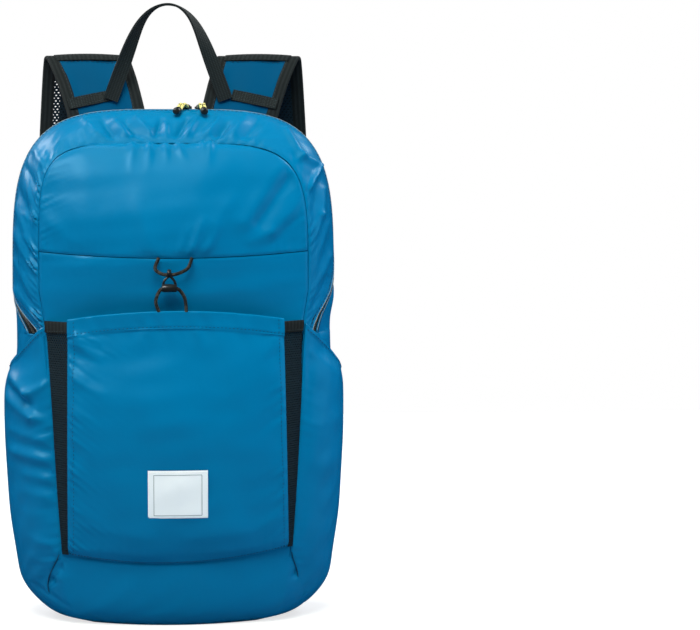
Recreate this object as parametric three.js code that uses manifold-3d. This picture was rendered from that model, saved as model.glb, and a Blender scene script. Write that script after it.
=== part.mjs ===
// Lightweight packable backpack, stuffed and standing: a zipped soft bag with a front
// pocket held shut by a cord hook, two side pockets, mesh shoulder straps and a haul loop.
// Millimetres, +Z up. The bag's front faces -Y and the side that is worn faces +Y.
import * as THREE from "three";
import { mergeVertices } from "three/addons/utils/BufferGeometryUtils.js";
import Module from "manifold-3d";

const wasm = await Module();
wasm.setup();

const { clamp, degToRad, lerp, smoothstep } = THREE.MathUtils;
const vec = (x, y, z) => new THREE.Vector3(x, y, z);
// A table's rows, with a name for each column.
const table = (columns, rows) =>
  rows.map((row) => Object.fromEntries(columns.map((name, k) => [name, row[k]])));

// Cloth, tape and clearance
const CLOTH = 1.5; // wall of the coated nylon panels
const GAP = 0.4; // clearance between sewn pieces
const SEAT = 0.8; // clearance of a pocket wall that lies on the bag
const MESH = 2.4; // spacer mesh of the straps
const NET = 1.2; // thin net beside the front pocket
const WEBBING = 1.6;

// Heights on the bag
const BASE_TOP = 57; // seam between the base and the panels
const YOKE_SEAM = 321; // seam across the front panel
const ARCH_FOOT = 290; // above this height the panels close in an arch
const ARCH_POWER = { front: 5, widest: 3.9, back: 3.9 }; // squareness of the arch along each line
const ARCH_TOP = { front: 417.5, widest: 446.5, back: 436 };
const PANEL_END_ANGLE = 75; // the arch is straight across above this angle
const STRAIGHT_SHARE = 0.5; // part of a rail that lies below the arch
const GUSSET_BOW = 2.2; // roundness of the side wall from seam to widest line

// Half widths and depths of the bag, a row for each height. The bulges are how far the
// middle of the front and back panels stands out past their seams.
const SECTIONS = table(
  ["z", "front", "widest", "back", "yFront", "yWidest", "yBack", "bulgeFront", "bulgeBack"],
  [
    [0, 66, 80, 70, -44, 0, 46, 18, 2],
    [4, 80, 95, 84, -48, 0, 53, 19, 3],
    [13, 89, 110, 97, -52, 0, 57, 20, 4],
    [30, 95, 123, 106, -54.5, 1, 59, 20.5, 5],
    [56, 98.5, 132.5, 111, -56, 2, 60, 21, 6],
    [120, 103, 136.5, 116, -58, 2, 61, 21, 7],
    [200, 107.5, 138.5, 119, -56, 3, 61, 20, 8],
    [262, 112, 138.5, 120, -52, 4, 61, 19, 8],
    [290, 116.5, 141, 121, -51, 4, 61, 24, 8],
  ],
);

// Depths round the arch, a row for each angle above its foot.
const ARCH = table(
  ["angle", "yFront", "yWidest", "yBack", "bulgeFront", "bulgeBack"],
  [
    [0, -51, 4, 61, 24, 8],
    [25, -52, 5, 61, 27, 8],
    [40, -49, 7, 60, 20, 7],
    [50, -46, 9, 59, 13, 5],
    [75, -41, 12, 55, 2, 1],
    [90, -40, 12, 54, 0, 0],
  ],
);

// Main folds: each is a ridge, or a dent where rise is negative, between two places.
const FOLD_END = 0.12; // how far into its rise a fold starts and stops
const FOLD_MARGIN = 0.14; // share of a panel's edge in which its folds fade out
const YOKE_FOLDS = [
  { from: [20, 325], to: [33, 366], width: 8, rise: 2.4 },
  { from: [-20, 326], to: [-29, 366], width: 9, rise: 1.6 },
  { from: [-19, 416], to: [-18, 388], width: 8, rise: 1.6 },
  { from: [12, 416], to: [10, 386], width: 8, rise: 2 },
  { from: [101, 386], to: [58, 334], width: 11, rise: 3 },
  { from: [104, 352], to: [70, 330], width: 9, rise: -2.2 },
];
const GUSSET_FOLDS_RIGHT = [
  { from: [-8, 398], to: [-44, 372], width: 8, rise: 2.4 },
  { from: [-4, 376], to: [-44, 318], width: 8, rise: 2.8 },
  { from: [-6, 338], to: [-42, 292], width: 8, rise: -2 },
];
const GUSSET_FOLDS_LEFT = [
  { from: [-6, 392], to: [-44, 350], width: 8, rise: 2.2 },
  { from: [-4, 366], to: [-44, 322], width: 8, rise: -2.2 },
  { from: [-4, 346], to: [-44, 300], width: 8, rise: 2.6 },
  { from: [-10, 318], to: [-42, 284], width: 8, rise: 2 },
];
const SIDE_POCKET_FOLDS = [
  { from: [-48, 214], to: [-10, 198], width: 8, rise: 2.4 },
  { from: [-50, 178], to: [-6, 172], width: 8, rise: -2 },
  { from: [-50, 152], to: [-4, 150], width: 8, rise: 2.2 },
  { from: [-50, 122], to: [-8, 116], width: 8, rise: -1.8 },
];

// Front pocket: how far it stands off the bag, a row for each height.
const POCKET_CENTRE = 1.5;
const POCKET_HALF = 93;
const POCKET_MOUTH = { middle: 275.5, edge: 267.5 };
const POCKET_FOOT = { middle: 58, edge: 64 };
const POCKET_HEM = 16;
const HEM_THICK = 2.6;
const POCKET_EDGE_SHARE = 0.78; // stand-off at the pocket's side edges, as a share of its middle
const POCKET_STAND = table(
  ["z", "off"],
  [[56, 2.4], [72, 6], [100, 13], [150, 20], [200, 21], [245, 17], [280, 14]],
);
const NET_SEAM_INSET = 2.5; // the net's outer edge, in from the bag's front seam
const NET_LEAST_WIDTH = 2;
const NET_BINDING_HEIGHT = 10.2;

// Side pockets: how far they stand off the side wall, a row for each height.
const SIDE_FOOT = 14;
const SIDE_MOUTH = { front: 270, widest: 226, back: 216 };
const SIDE_EDGE = 0.95; // the side pocket reaches this far round towards each seam
const SIDE_STAND = table(
  ["z", "off"],
  [
    [8, 1.2], [31, 4.2], [56, 5.5], [100, 8.6], [145, 10],
    [190, 10.3], [207, 8.5], [218, 5.5], [230, 2.6], [265, 1.2],
  ],
);

// Main zip: up both sides and over the top, turning forward at its lower ends.
const ZIP_HALF = 0.085; // half width, as a share of the way from the widest line to a seam
const ZIP_THICK = 2;
const ZIP_PROUD = 0.5;
const ZIP_END = 252;
const ZIP_TURN = { low: 250, high: 306, share: 0.8 }; // how far forward its lower ends turn
const ZIP_BACK = { low: 262, high: 330, share: 0.11 }; // how far behind the widest line the rest lies
const ZIP_REACH = 36; // shortest way from the widest line to a seam

// Zip sliders and their cord pulls
const SLIDER = { length: 11, width: 8, thick: 4, nose: 4.8, taper: 2.75 };
const SLIDERS = table(["name", "x", "sway"], [["left", 11, -6], ["right", 24.5, 2]]);
const PULL = { cord: 2.6, drop: 3, arch: 2.2, reach: 20 };
const TIP = { radius: 3.2, neck: 2.56, shoulder: 1.5, bore: 1.9, hole: 7, length: 10 };

// Shoulder strap, right-hand one: its two edges, a row for each place along it.
const STRAP = table(
  ["station", "inner", "outer", "y", "z"],
  [
    [0, 22, 84, 66.7, 408],
    [1, 24, 87, 69.6, 438],
    [2, 31, 101, 80, 469],
    [3, 37, 112, 90, 488],
    [4, 40, 116.5, 98, 495.5],
    [5, 43, 118.5, 107, 488],
    [6, 51, 121, 114, 455],
    [7, 62, 124, 119, 400],
    [8, 68, 126, 119, 330],
    [9, 72, 127, 113, 250],
    [10, 80, 122, 105, 185],
    [11, 88, 118, 100, 152],
  ],
);
const STRAP_END = STRAP[STRAP.length - 1];
const STRAP_FOLD_STATION = 4; // the blue yoke ends here, and the mesh begins
const STRAP_FOLD_GAP = 0.007; // half the gap between them, in stations
const STRAP_BINDING = { width: 10.5, thick: 4 };
const YOKE_CLOTH = 2;

// Webbing: haul loop, the bars that carry it, and the lower strap ends
const LOOP = { width: 14, centre: -4.5, rootHalf: 52, rootZ: 456, topZ: 543, lean: 0.45, roundness: 5 };
const LOOP_RISE = 0.9; // power of the loop's rise from root to top
const LOOP_TWIST = { root: 0, top: 90, power: 1.4 }; // degrees from facing front to lying flat
const LOOP_SEAT = 3; // how far below its root the loop's depth is taken from the strap
const BAR = { width: 12, middleZ: 461, outerDrop: 6, outerShare: 0.17, innerShare: 0.66 };
const LOWER_WEB_WIDTH = 20;
const LOWER_WEB = table(
  ["x", "y", "z"],
  [[101, 62.9, 39], [101, 66.9, 77], [102.2, 82.1, 99.25], [103, 99.8, 120.5]],
);
const BUCKLE = { width: 32, height: 30, thick: 4, narrow: 29, proud: 1 };

// Cord hook: elastic loops of the yoke and the pocket, and the hook that joins them
const CORD = 3;
const HOOK = { x: -4, y: -86.5, eyeZ: 306.5, barrelZ: 292 };
const HOOK_SIZE = { barrel: 13, eye: 3.5, wire: 2.2, bore: 3.9, wall: 1.5 };
const HOOK_LEG_SPREAD = 1; // half the space between the legs at the eye
const UPPER_LOOP = table(
  ["x", "y", "z"],
  [
    [-13, -83, 319],
    [-16, -84.5, 311.5],
    [-10, -86.5, 306.9],
    [-4, -86.5, 306.5],
    [2, -86.5, 306.9],
    [11.5, -84.5, 311.5],
    [15.5, -83, 319],
  ],
);
const LOWER_LOOP = table(
  ["x", "y", "z"],
  [
    [-14, -87.4, 276.4],
    [-18, -86.7, 283],
    [-12.6, -86.5, 291.4],
    [-4, -86.5, 292],
    [4.6, -86.5, 291.4],
    [11, -86.7, 283],
    [11, -87.4, 276.4],
  ],
);
const LABEL = { x: 2.5, z: 119, width: 51, height: 40, thick: 0.9 };

// Facets, as counts along and across each piece
const FACETS = {
  yoke: [9, 14], frontLower: [10, 12], gussetFront: 4, gussetBack: 5, back: [14, 8],
  pocket: [11, 10], sidePocket: [11, 8], strapYoke: [8, 4], strapMesh: [18, 3],
  binding: [26, 1], net: [9, 2], loop: [30, 1], bar: [2, 5], lowerWeb: [8, 1], label: [3, 4],
  upperLoop: 18, lowerLoop: 20, pull: 5, tip: 10, sleeve: 6,
};
const RUN_STEPS = { zip: 48, belowZip: 6 }; // along the side wall: beside the zip, and below its ends
const BASE_LEVELS = [0, 4, 13, 30, BASE_TOP];
const BASE_STEPS = { front: 10, side: 7, back: 8 };
const CORD_SIDES = 4; // curve segments for each half of a cord's section

const BLUE = { color: 0x0a72a8, roughness: 0.42, metalness: 0 };
const BLACK_WEB = { color: 0x1b2326, roughness: 0.85, metalness: 0 };
const BLACK_NET = { color: 0x10242f, roughness: 0.9, metalness: 0 };
const BLACK_PLASTIC = { color: 0x1c1f21, roughness: 0.4, metalness: 0 };
const WHITE_LABEL = { color: 0xe8eef2, roughness: 0.6, metalness: 0 };
const YELLOW_CORD = { color: 0xe6d84a, roughness: 0.7, metalness: 0 };
const DARK_CORD = { color: 0x2a2725, roughness: 0.8, metalness: 0 };

// Reads a table between its rows on a smooth curve through them.
function rowAt(rows, key, at) {
  const last = rows.length - 1;
  const place = clamp(at, rows[0][key], rows[last][key]);
  let i = 0;
  while (i < last - 1 && place > rows[i + 1][key]) i += 1;
  const [low, high] = [rows[i], rows[i + 1]];
  const span = high[key] - low[key];
  const s = (place - low[key]) / span;
  const slope = (name, a, b) => ((rows[b][name] - rows[a][name]) * span) / (rows[b][key] - rows[a][key]);
  const row = {};
  for (const name of Object.keys(low)) {
    const startSlope = slope(name, Math.max(i - 1, 0), i + 1);
    const endSlope = slope(name, i, Math.min(i + 2, last));
    const rise = high[name] - low[name];
    row[name] =
      low[name] + s * startSlope + s * s * (3 * rise - 2 * startSlope - endSlope) +
      s * s * s * (startSlope + endSlope - 2 * rise);
  }
  return row;
}

// The value between two others at which a test turns false.
function turningPoint(low, high, isBefore) {
  let [near, far] = [low, high];
  for (let i = 0; i < 40; i += 1) {
    const middle = (near + far) / 2;
    if (isBefore(middle)) near = middle;
    else far = middle;
  }
  return near;
}

// Rise of a set of folds at one place of a panel.
function foldRise(folds, a, b) {
  let rise = 0;
  for (const fold of folds) {
    const [da, db] = [fold.to[0] - fold.from[0], fold.to[1] - fold.from[1]];
    const along = clamp(((a - fold.from[0]) * da + (b - fold.from[1]) * db) / (da * da + db * db), 0, 1);
    const away = Math.hypot(a - fold.from[0] - along * da, b - fold.from[1] - along * db);
    const swell = Math.sin(Math.PI * lerp(FOLD_END, 1 - FOLD_END, along));
    rise += fold.rise * Math.exp(-((away / fold.width) ** 2)) * swell;
  }
  return rise;
}

// Share that fades folds out at the edges of a panel.
const fade = (share) => smoothstep(Math.min(share, 1 - share), 0, FOLD_MARGIN);
const edgeFade = (u, v) => fade(u) * fade(v);

// One cross line of the bag, share 0 at the base's top seam and 1 at the top of the arch.
function rail(share) {
  if (share <= STRAIGHT_SHARE) {
    const z = lerp(BASE_TOP, ARCH_FOOT, share / STRAIGHT_SHARE);
    const row = rowAt(SECTIONS, "z", z);
    return { ...row, zFront: z, zWidest: z, zBack: z };
  }
  const angle = (90 * (share - STRAIGHT_SHARE)) / (1 - STRAIGHT_SHARE);
  const [cos, sin] = [Math.cos(degToRad(angle)), Math.sin(degToRad(angle))];
  const foot = SECTIONS[SECTIONS.length - 1];
  const arched = (line) => {
    const power = ARCH_POWER[line];
    const reach = (cos ** power + sin ** power) ** (-1 / power);
    return [foot[line] * cos * reach, ARCH_FOOT + (ARCH_TOP[line] - ARCH_FOOT) * sin * reach];
  };
  const [front, zFront] = arched("front");
  const [widest, zWidest] = arched("widest");
  const [back, zBack] = arched("back");
  return { ...rowAt(ARCH, "angle", angle), front, widest, back, zFront, zWidest, zBack };
}

// The share of a rail at a height below the arch, or at an angle of the arch.
const shareAtHeight = (z) => (STRAIGHT_SHARE * (z - BASE_TOP)) / (ARCH_FOOT - BASE_TOP);
const shareAtAngle = (angle) => lerp(STRAIGHT_SHARE, 1, angle / 90);

// A point of a side wall: round is -1 at the front seam, 0 at the widest line, 1 at the back seam.
function wallPoint(row, side, round) {
  const bow = 1 - Math.abs(round) ** GUSSET_BOW;
  const seam = round < 0 ? [row.front, row.zFront, row.yFront] : [row.back, row.zBack, row.yBack];
  return vec(
    side * lerp(seam[0], row.widest, bow),
    lerp(row.yWidest, seam[2], Math.abs(round)),
    lerp(seam[1], row.zWidest, bow),
  );
}

// Where a run over the whole bag lies, from the right base corner over the top to the left one.
function gussetPoint(run, round) {
  const side = run < 0.5 ? 1 : -1;
  return wallPoint(rail(1 - Math.abs(2 * run - 1)), side, round);
}

// Depth of the front panel's outer face at a place on it.
function frontDepth(x, z) {
  const row = rowAt(SECTIONS, "z", z);
  return row.yFront - row.bulgeFront * (1 - (x / row.front) ** 2);
}

// The direction out of a surface given by two shares.
function outward(point, u, v) {
  const step = 1e-3;
  const along = point(Math.min(u + step, 1), v).sub(point(Math.max(u - step, 0), v));
  const across = point(u, Math.min(v + step, 1)).sub(point(u, Math.max(v - step, 0)));
  return along.cross(across).normalize();
}

// The same surface, moved out by an amount.
const proudOf = (point, amount) => (u, v) => point(u, v).addScaledVector(outward(point, u, v), amount);

// Turns corner points and triangles into a geometry.
function facets(points, triangles) {
  const geometry = new THREE.BufferGeometry();
  const corners = points.flatMap((p) => [p.x, p.y, p.z]);
  geometry.setAttribute("position", new THREE.Float32BufferAttribute(corners, 3));
  geometry.setIndex(triangles.flat());
  geometry.computeVertexNormals();
  return geometry;
}

// A sheet of cloth: its outer face is point(u, v), and thick(u, v) is its wall.
function sheet([rows, columns], point, thick) {
  const outer = [];
  const inner = [];
  for (let i = 0; i <= rows; i += 1) {
    for (let j = 0; j <= columns; j += 1) {
      const [u, v] = [i / rows, j / columns];
      const place = point(u, v);
      outer.push(place);
      inner.push(place.clone().addScaledVector(outward(point, u, v), -thick(u, v)));
    }
  }
  const width = columns + 1;
  const shift = outer.length;
  const triangles = [];
  for (let i = 0; i < rows; i += 1) {
    for (let j = 0; j < columns; j += 1) {
      const [a, b, c, d] = [i * width + j, (i + 1) * width + j, (i + 1) * width + j + 1, i * width + j + 1];
      triangles.push([a, b, c], [a, c, d]);
      triangles.push([shift + a, shift + c, shift + b], [shift + a, shift + d, shift + c]);
    }
  }
  const border = [];
  for (let i = 0; i < rows; i += 1) border.push(i * width);
  for (let j = 0; j < columns; j += 1) border.push(rows * width + j);
  for (let i = rows; i > 0; i -= 1) border.push(i * width + columns);
  for (let j = columns; j > 0; j -= 1) border.push(j);
  border.forEach((p, k) => {
    const q = border[(k + 1) % border.length];
    triangles.push([q, p, shift + p], [q, shift + p, shift + q]);
  });
  return facets([...outer, ...inner], triangles);
}

// The same geometry on the other side of the bag.
function mirrored(geometry) {
  const copy = geometry.clone().scale(-1, 1, 1);
  const index = copy.getIndex();
  for (let i = 0; i < index.count; i += 3) {
    const second = index.getX(i + 1);
    index.setX(i + 1, index.getX(i + 2));
    index.setX(i + 2, second);
  }
  copy.computeVertexNormals();
  return copy;
}

// A round cord along a curve.
function cordTube(curve, diameter, steps) {
  const section = new THREE.Shape().absarc(0, 0, diameter / 2, 0, 2 * Math.PI, false);
  return new THREE.ExtrudeGeometry(section, { steps, extrudePath: curve, curveSegments: CORD_SIDES });
}

// A closed geometry as a solid for joining and cutting, and back.
function solid(geometry) {
  const bare = geometry.clone();
  bare.deleteAttribute("normal");
  bare.deleteAttribute("uv");
  const merged = mergeVertices(bare, 1e-4);
  const vertProperties = new Float32Array(merged.getAttribute("position").array);
  const triVerts = new Uint32Array(merged.getIndex().array);
  return new wasm.Manifold(new wasm.Mesh({ numProp: 3, vertProperties, triVerts }));
}
function geometryOf(body) {
  const mesh = body.getMesh();
  const geometry = new THREE.BufferGeometry();
  geometry.setAttribute("position", new THREE.BufferAttribute(new Float32Array(mesh.vertProperties), 3));
  geometry.setIndex(new THREE.BufferAttribute(new Uint32Array(mesh.triVerts), 1));
  geometry.computeVertexNormals();
  return geometry;
}

const pack = new THREE.Group();
function add(name, geometry, finish) {
  const mesh = new THREE.Mesh(geometry, new THREE.MeshStandardMaterial(finish));
  mesh.name = name;
  pack.add(mesh);
  return mesh;
}
const clothWall = () => CLOTH;

// Front panel: a lower half behind the pocket and an arched yoke above the seam.
function frontPanel(startShare, endShare, facetCount, folds) {
  const point = (u, v) => {
    const row = rail(lerp(startShare, endShare, u));
    const across = 1 - 2 * v;
    const x = across * row.front;
    const y = row.yFront - row.bulgeFront * (1 - across * across);
    return vec(x, y - edgeFade(u, v) * foldRise(folds, x, row.zFront), row.zFront);
  };
  return sheet(facetCount, point, clothWall);
}
const seamShare = turningPoint(STRAIGHT_SHARE, 1, (share) => rail(share).zFront < YOKE_SEAM);
const seamGap = GAP / (2 * (ARCH_TOP.front - BASE_TOP));
const panelFoot = shareAtHeight(BASE_TOP + GAP);
const panelHead = shareAtAngle(PANEL_END_ANGLE);
add("front_lower", frontPanel(panelFoot, seamShare - seamGap, FACETS.frontLower, []), BLUE);
add("front_yoke", frontPanel(seamShare + seamGap, panelHead, FACETS.yoke, YOKE_FOLDS), BLUE);

// Back panel, plain.
function backPanel() {
  const point = (u, v) => {
    const row = rail(lerp(panelFoot, panelHead, u));
    const across = 2 * v - 1;
    return vec(across * row.back, row.yBack + row.bulgeBack * (1 - across * across), row.zBack);
  };
  return sheet(FACETS.back, point, clothWall);
}
add("back_panel", backPanel(), BLUE);

// Middle of the zip at a height, as a place round the side wall.
const zipRound = (z) =>
  ZIP_BACK.share * smoothstep(z, ZIP_BACK.low, ZIP_BACK.high) -
  ZIP_TURN.share * (1 - smoothstep(z, ZIP_TURN.low, ZIP_TURN.high));
const zipRoundAt = (run) => zipRound(gussetPoint(run, 0).z);
const seamInset = (row) => (CLOTH + GAP) / (row.yWidest - row.yFront);

// Side walls in front of the zip and behind it, each one band over the top.
function gussetBand(facetCount, runAt, roundBack, roundFront, foldsOf) {
  const point = (u, v) => {
    const run = runAt(u);
    const place = gussetPoint(run, lerp(roundBack(run), roundFront(run), v));
    const side = run < 0.5 ? 1 : -1;
    place.x += side * edgeFade(u, v) * foldRise(foldsOf(side), place.y, place.z);
    return place;
  };
  return sheet(facetCount, point, clothWall);
}
const frontEdge = (run) => -1 + seamInset(rail(1 - Math.abs(2 * run - 1)));
const backEdge = (run) => 1 - seamInset(rail(1 - Math.abs(2 * run - 1)));
const gussetFolds = (side) => (side > 0 ? GUSSET_FOLDS_RIGHT : GUSSET_FOLDS_LEFT);
const zipMargin = ZIP_HALF + GAP / ZIP_REACH;
const zipStart = shareAtHeight(ZIP_END) / 2;
const zipRun = (u) => lerp(zipStart, 1 - zipStart, u);
const wallSteps = RUN_STEPS.zip + 2 * RUN_STEPS.belowZip;
// Run of the whole side wall, with the same stations as the zip where they lie side by side.
function wallRun(u) {
  const step = u * wallSteps;
  const pastZip = step - RUN_STEPS.belowZip - RUN_STEPS.zip;
  if (step < RUN_STEPS.belowZip) return lerp(panelFoot / 2, zipStart, step / RUN_STEPS.belowZip);
  if (pastZip > 0) return lerp(1 - zipStart, 1 - panelFoot / 2, pastZip / RUN_STEPS.belowZip);
  return zipRun((step - RUN_STEPS.belowZip) / RUN_STEPS.zip);
}
const wallFront = (run) => {
  const besideZip = Math.min(run, 1 - run) > zipStart - 1e-6;
  return besideZip ? zipRoundAt(run) + zipMargin : frontEdge(run);
};
const beforeZip = (run) => zipRoundAt(run) - zipMargin;
const bandFacets = { front: [RUN_STEPS.zip, FACETS.gussetFront], back: [wallSteps, FACETS.gussetBack] };
add("gusset_front", gussetBand(bandFacets.front, zipRun, beforeZip, frontEdge, gussetFolds), BLUE);
add("gusset_back", gussetBand(bandFacets.back, wallRun, backEdge, wallFront, () => []), BLUE);

// Zip: its tape and coil as one band, a little proud of the cloth.
function mainZip() {
  const onWall = (u, v) => {
    const run = zipRun(u);
    return gussetPoint(run, zipRoundAt(run) + lerp(ZIP_HALF, -ZIP_HALF, v));
  };
  return sheet([RUN_STEPS.zip, 1], proudOf(onWall, ZIP_PROUD), () => ZIP_THICK);
}
add("main_zip", mainZip(), BLACK_WEB);

// Base: a tray with rounded corners and a flat foot.
function baseRing(z, inset) {
  const row = rowAt(SECTIONS, "z", z);
  const set = {
    ...row,
    front: row.front - inset,
    widest: row.widest - inset,
    back: row.back - inset,
    yFront: row.yFront + inset,
    yBack: row.yBack - inset,
    zFront: z,
    zWidest: z,
    zBack: z,
  };
  const panel = (across, y, bulge) => {
    const half = y < 0 ? set.front : set.back;
    return vec(across * half, y + bulge * (1 - across ** 2), z);
  };
  const ring = [];
  for (let i = 0; i < BASE_STEPS.front; i += 1) {
    ring.push(panel(-1 + (2 * i) / BASE_STEPS.front, set.yFront, -set.bulgeFront));
  }
  for (let i = 0; i < BASE_STEPS.side; i += 1) ring.push(wallPoint(set, 1, -1 + (2 * i) / BASE_STEPS.side));
  for (let i = 0; i < BASE_STEPS.back; i += 1) {
    ring.push(panel(1 - (2 * i) / BASE_STEPS.back, set.yBack, set.bulgeBack));
  }
  for (let i = 0; i < BASE_STEPS.side; i += 1) ring.push(wallPoint(set, -1, 1 - (2 * i) / BASE_STEPS.side));
  return ring;
}
function base() {
  const rings = BASE_LEVELS.map((z) => baseRing(z, 0));
  const innerLevels = BASE_LEVELS.map((z) => Math.max(z, CLOTH));
  const innerRings = BASE_LEVELS.map((z, k) => baseRing(z, CLOTH).map((p) => p.setZ(innerLevels[k])));
  const count = rings[0].length;
  const points = [...rings.flat(), ...innerRings.flat()];
  const shift = rings.length * count;
  const triangles = [];
  for (let k = 0; k < rings.length - 1; k += 1) {
    for (let i = 0; i < count; i += 1) {
      const next = (i + 1) % count;
      const [a, b, c, d] = [k * count + i, k * count + next, (k + 1) * count + next, (k + 1) * count + i];
      triangles.push([a, b, c], [a, c, d]);
      triangles.push([shift + a, shift + c, shift + b], [shift + a, shift + d, shift + c]);
    }
  }
  const rim = (rings.length - 1) * count;
  for (let i = 0; i < count; i += 1) {
    const next = (i + 1) % count;
    triangles.push([rim + i, rim + next, shift + rim + next], [rim + i, shift + rim + next, shift + rim + i]);
  }
  const foot = rings[0].map((p) => new THREE.Vector2(p.x, p.y));
  for (const [a, b, c] of THREE.ShapeUtils.triangulateShape(foot, [])) triangles.push([a, c, b]);
  const floor = innerRings[0].map((p) => new THREE.Vector2(p.x, p.y));
  for (const [a, b, c] of THREE.ShapeUtils.triangulateShape(floor, [])) {
    triangles.push([shift + a, shift + b, shift + c]);
  }
  return facets(points, triangles);
}
add("base", base(), BLUE);

// Front pocket: its outer face stands off the front panel, fullest in the middle.
function pocketDepth(x, z) {
  const spread = lerp(1, POCKET_EDGE_SHARE, ((x - POCKET_CENTRE) / POCKET_HALF) ** 2);
  return frontDepth(x, z) - rowAt(POCKET_STAND, "z", z).off * spread - CLOTH;
}
const middleToEdge = (ends, across) => lerp(ends.middle, ends.edge, across * across);
function frontPocket() {
  const point = (u, v) => {
    const across = 1 - 2 * v;
    const z = lerp(middleToEdge(POCKET_FOOT, across), middleToEdge(POCKET_MOUTH, across), u);
    const x = POCKET_CENTRE + across * POCKET_HALF;
    return vec(x, pocketDepth(x, z), z);
  };
  const hemShare = 1 - POCKET_HEM / (POCKET_MOUTH.middle - POCKET_FOOT.middle);
  const nearHem = hemShare - 1 / (2 * FACETS.pocket[0]);
  return sheet(FACETS.pocket, point, (u) => (u > nearHem ? HEM_THICK : CLOTH));
}
add("front_pocket", frontPocket(), BLUE);

// Net wedge between the pocket's side edge and the bag, and the tape across its top. It is made
// on the right and then taken to its side, which is 1 or -1.
function netFace(side) {
  const pocketEdge = POCKET_HALF + side * POCKET_CENTRE;
  const inner = pocketEdge + GAP + NET;
  return (u, v) => {
    const z = lerp(POCKET_FOOT.edge, POCKET_MOUTH.edge, u);
    const outer = rowAt(SECTIONS, "z", z).front - NET_SEAM_INSET;
    const x = lerp(Math.max(outer, inner + NET_LEAST_WIDTH), inner, v);
    const seat = frontDepth(x, z) - NET - SEAT;
    return vec(x, lerp(seat, pocketDepth(side * pocketEdge, z), v), z);
  };
}
function addNet(name, side, toSide) {
  const face = netFace(side);
  add(`net_wedge_${name}`, toSide(sheet(FACETS.net, face, () => NET)), BLACK_NET);
  const tapeFoot = 1 - NET_BINDING_HEIGHT / (POCKET_MOUTH.edge - POCKET_FOOT.edge);
  const tape = proudOf((u, v) => face(lerp(tapeFoot, 1, u), v), WEBBING + GAP);
  add(`net_binding_${name}`, toSide(sheet([1, 2], tape, () => WEBBING)), BLACK_WEB);
}

// Side pocket: a slack wall off the side of the bag, its mouth sloping down to the back.
function sidePocket(folds) {
  const mouth = (round) => {
    const { front, widest, back } = SIDE_MOUTH;
    return round < 0 ? lerp(widest, front, round * round) : lerp(widest, back, round);
  };
  const onBag = (z, round) => {
    const row = { ...rowAt(SECTIONS, "z", z), zFront: z, zWidest: z, zBack: z };
    return wallPoint(row, 1, round);
  };
  const point = (u, v) => {
    const round = lerp(SIDE_EDGE, -SIDE_EDGE, v);
    const z = lerp(SIDE_FOOT, mouth(round), u);
    const step = 0.02;
    const around = onBag(z, round - step).sub(onBag(z, round + step));
    const out = vec(-around.y, around.x, 0).normalize();
    const fullness = 1 - (round / SIDE_EDGE) ** 4;
    const off = SEAT + CLOTH + rowAt(SIDE_STAND, "z", z).off * fullness;
    const place = onBag(z, round);
    const fold = edgeFade(u, v) * foldRise(folds, place.y, z);
    return place.addScaledVector(out, off + fold);
  };
  return sheet(FACETS.sidePocket, point, clothWall);
}

// Shoulder strap: the blue yoke, the mesh that folds over and hangs behind, and edge tapes.
function strapPoint(station, inShare, inset) {
  const row = rowAt(STRAP, "station", station);
  return vec(lerp(row.outer - inset, row.inner + inset, inShare), row.y, row.z);
}
function strapSheet(facetCount, from, to, thick) {
  const inset = STRAP_BINDING.width + GAP;
  return sheet(facetCount, (u, v) => strapPoint(lerp(from, to, u), v, inset), () => thick);
}
function strapBinding(outerEdge) {
  const centred = (u, v) => {
    const row = rowAt(STRAP, "station", u * STRAP_END.station);
    const edge = outerEdge ? row.outer : row.inner + STRAP_BINDING.width;
    return vec(edge - v * STRAP_BINDING.width, row.y, row.z);
  };
  const proud = (STRAP_BINDING.thick - YOKE_CLOTH) / 2;
  return sheet(FACETS.binding, proudOf(centred, proud), () => STRAP_BINDING.thick);
}

// Bar of webbing across a strap's yoke, from its outer tape to the haul loop's root.
function strapBar() {
  const point = (u, v) => {
    const z = BAR.middleZ - BAR.outerDrop * (1 - v) + (u - 0.5) * BAR.width;
    const station = stationAtHeight(z);
    const row = rowAt(STRAP, "station", station);
    const x = lerp(row.outer, row.inner, lerp(BAR.outerShare, BAR.innerShare, v));
    return vec(x, row.y - WEBBING - GAP, z);
  };
  return sheet(FACETS.bar, point, () => WEBBING);
}
// Station of the strap's rising part at a height.
function stationAtHeight(z) {
  return turningPoint(0, STRAP_FOLD_STATION, (station) => rowAt(STRAP, "station", station).z < z);
}

// Haul loop: webbing that faces front at its roots and turns flat at the top.
function haulLoop() {
  const turn = (u) => Math.PI * (1 - u);
  const rootY = rowAt(STRAP, "station", stationAtHeight(LOOP.rootZ - LOOP_SEAT)).y - 2 * WEBBING;
  const centre = (u) => {
    const rise = Math.max(Math.sin(turn(u)), 0) ** LOOP_RISE;
    const spread = (1 - LOOP.lean * rise) * Math.sqrt(1 - rise ** LOOP.roundness);
    const x = LOOP.centre + LOOP.rootHalf * spread * Math.sign(u - 0.5);
    return vec(x, rootY, lerp(LOOP.rootZ, LOOP.topZ, rise));
  };
  const point = (u, v) => {
    const step = 0.004;
    const tangent = centre(Math.min(u + step, 1)).sub(centre(Math.max(u - step, 0))).normalize();
    const flat = vec(tangent.z, 0, -tangent.x).normalize();
    const twist = degToRad(lerp(LOOP_TWIST.root, LOOP_TWIST.top, Math.sin(turn(u)) ** LOOP_TWIST.power));
    const lean = u < 0.5 ? 1 : -1;
    const acrossWay = flat.multiplyScalar(lean * Math.cos(twist)).add(vec(0, Math.sin(twist), 0));
    return centre(u).addScaledVector(acrossWay, LOOP.width * (v - 0.5));
  };
  return sheet(FACETS.loop, point, () => WEBBING);
}

// A smooth curve through the rows of a table.
const curveThrough = (rows) => new THREE.CatmullRomCurve3(rows.map(({ x, y, z }) => vec(x, y, z)));

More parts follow.
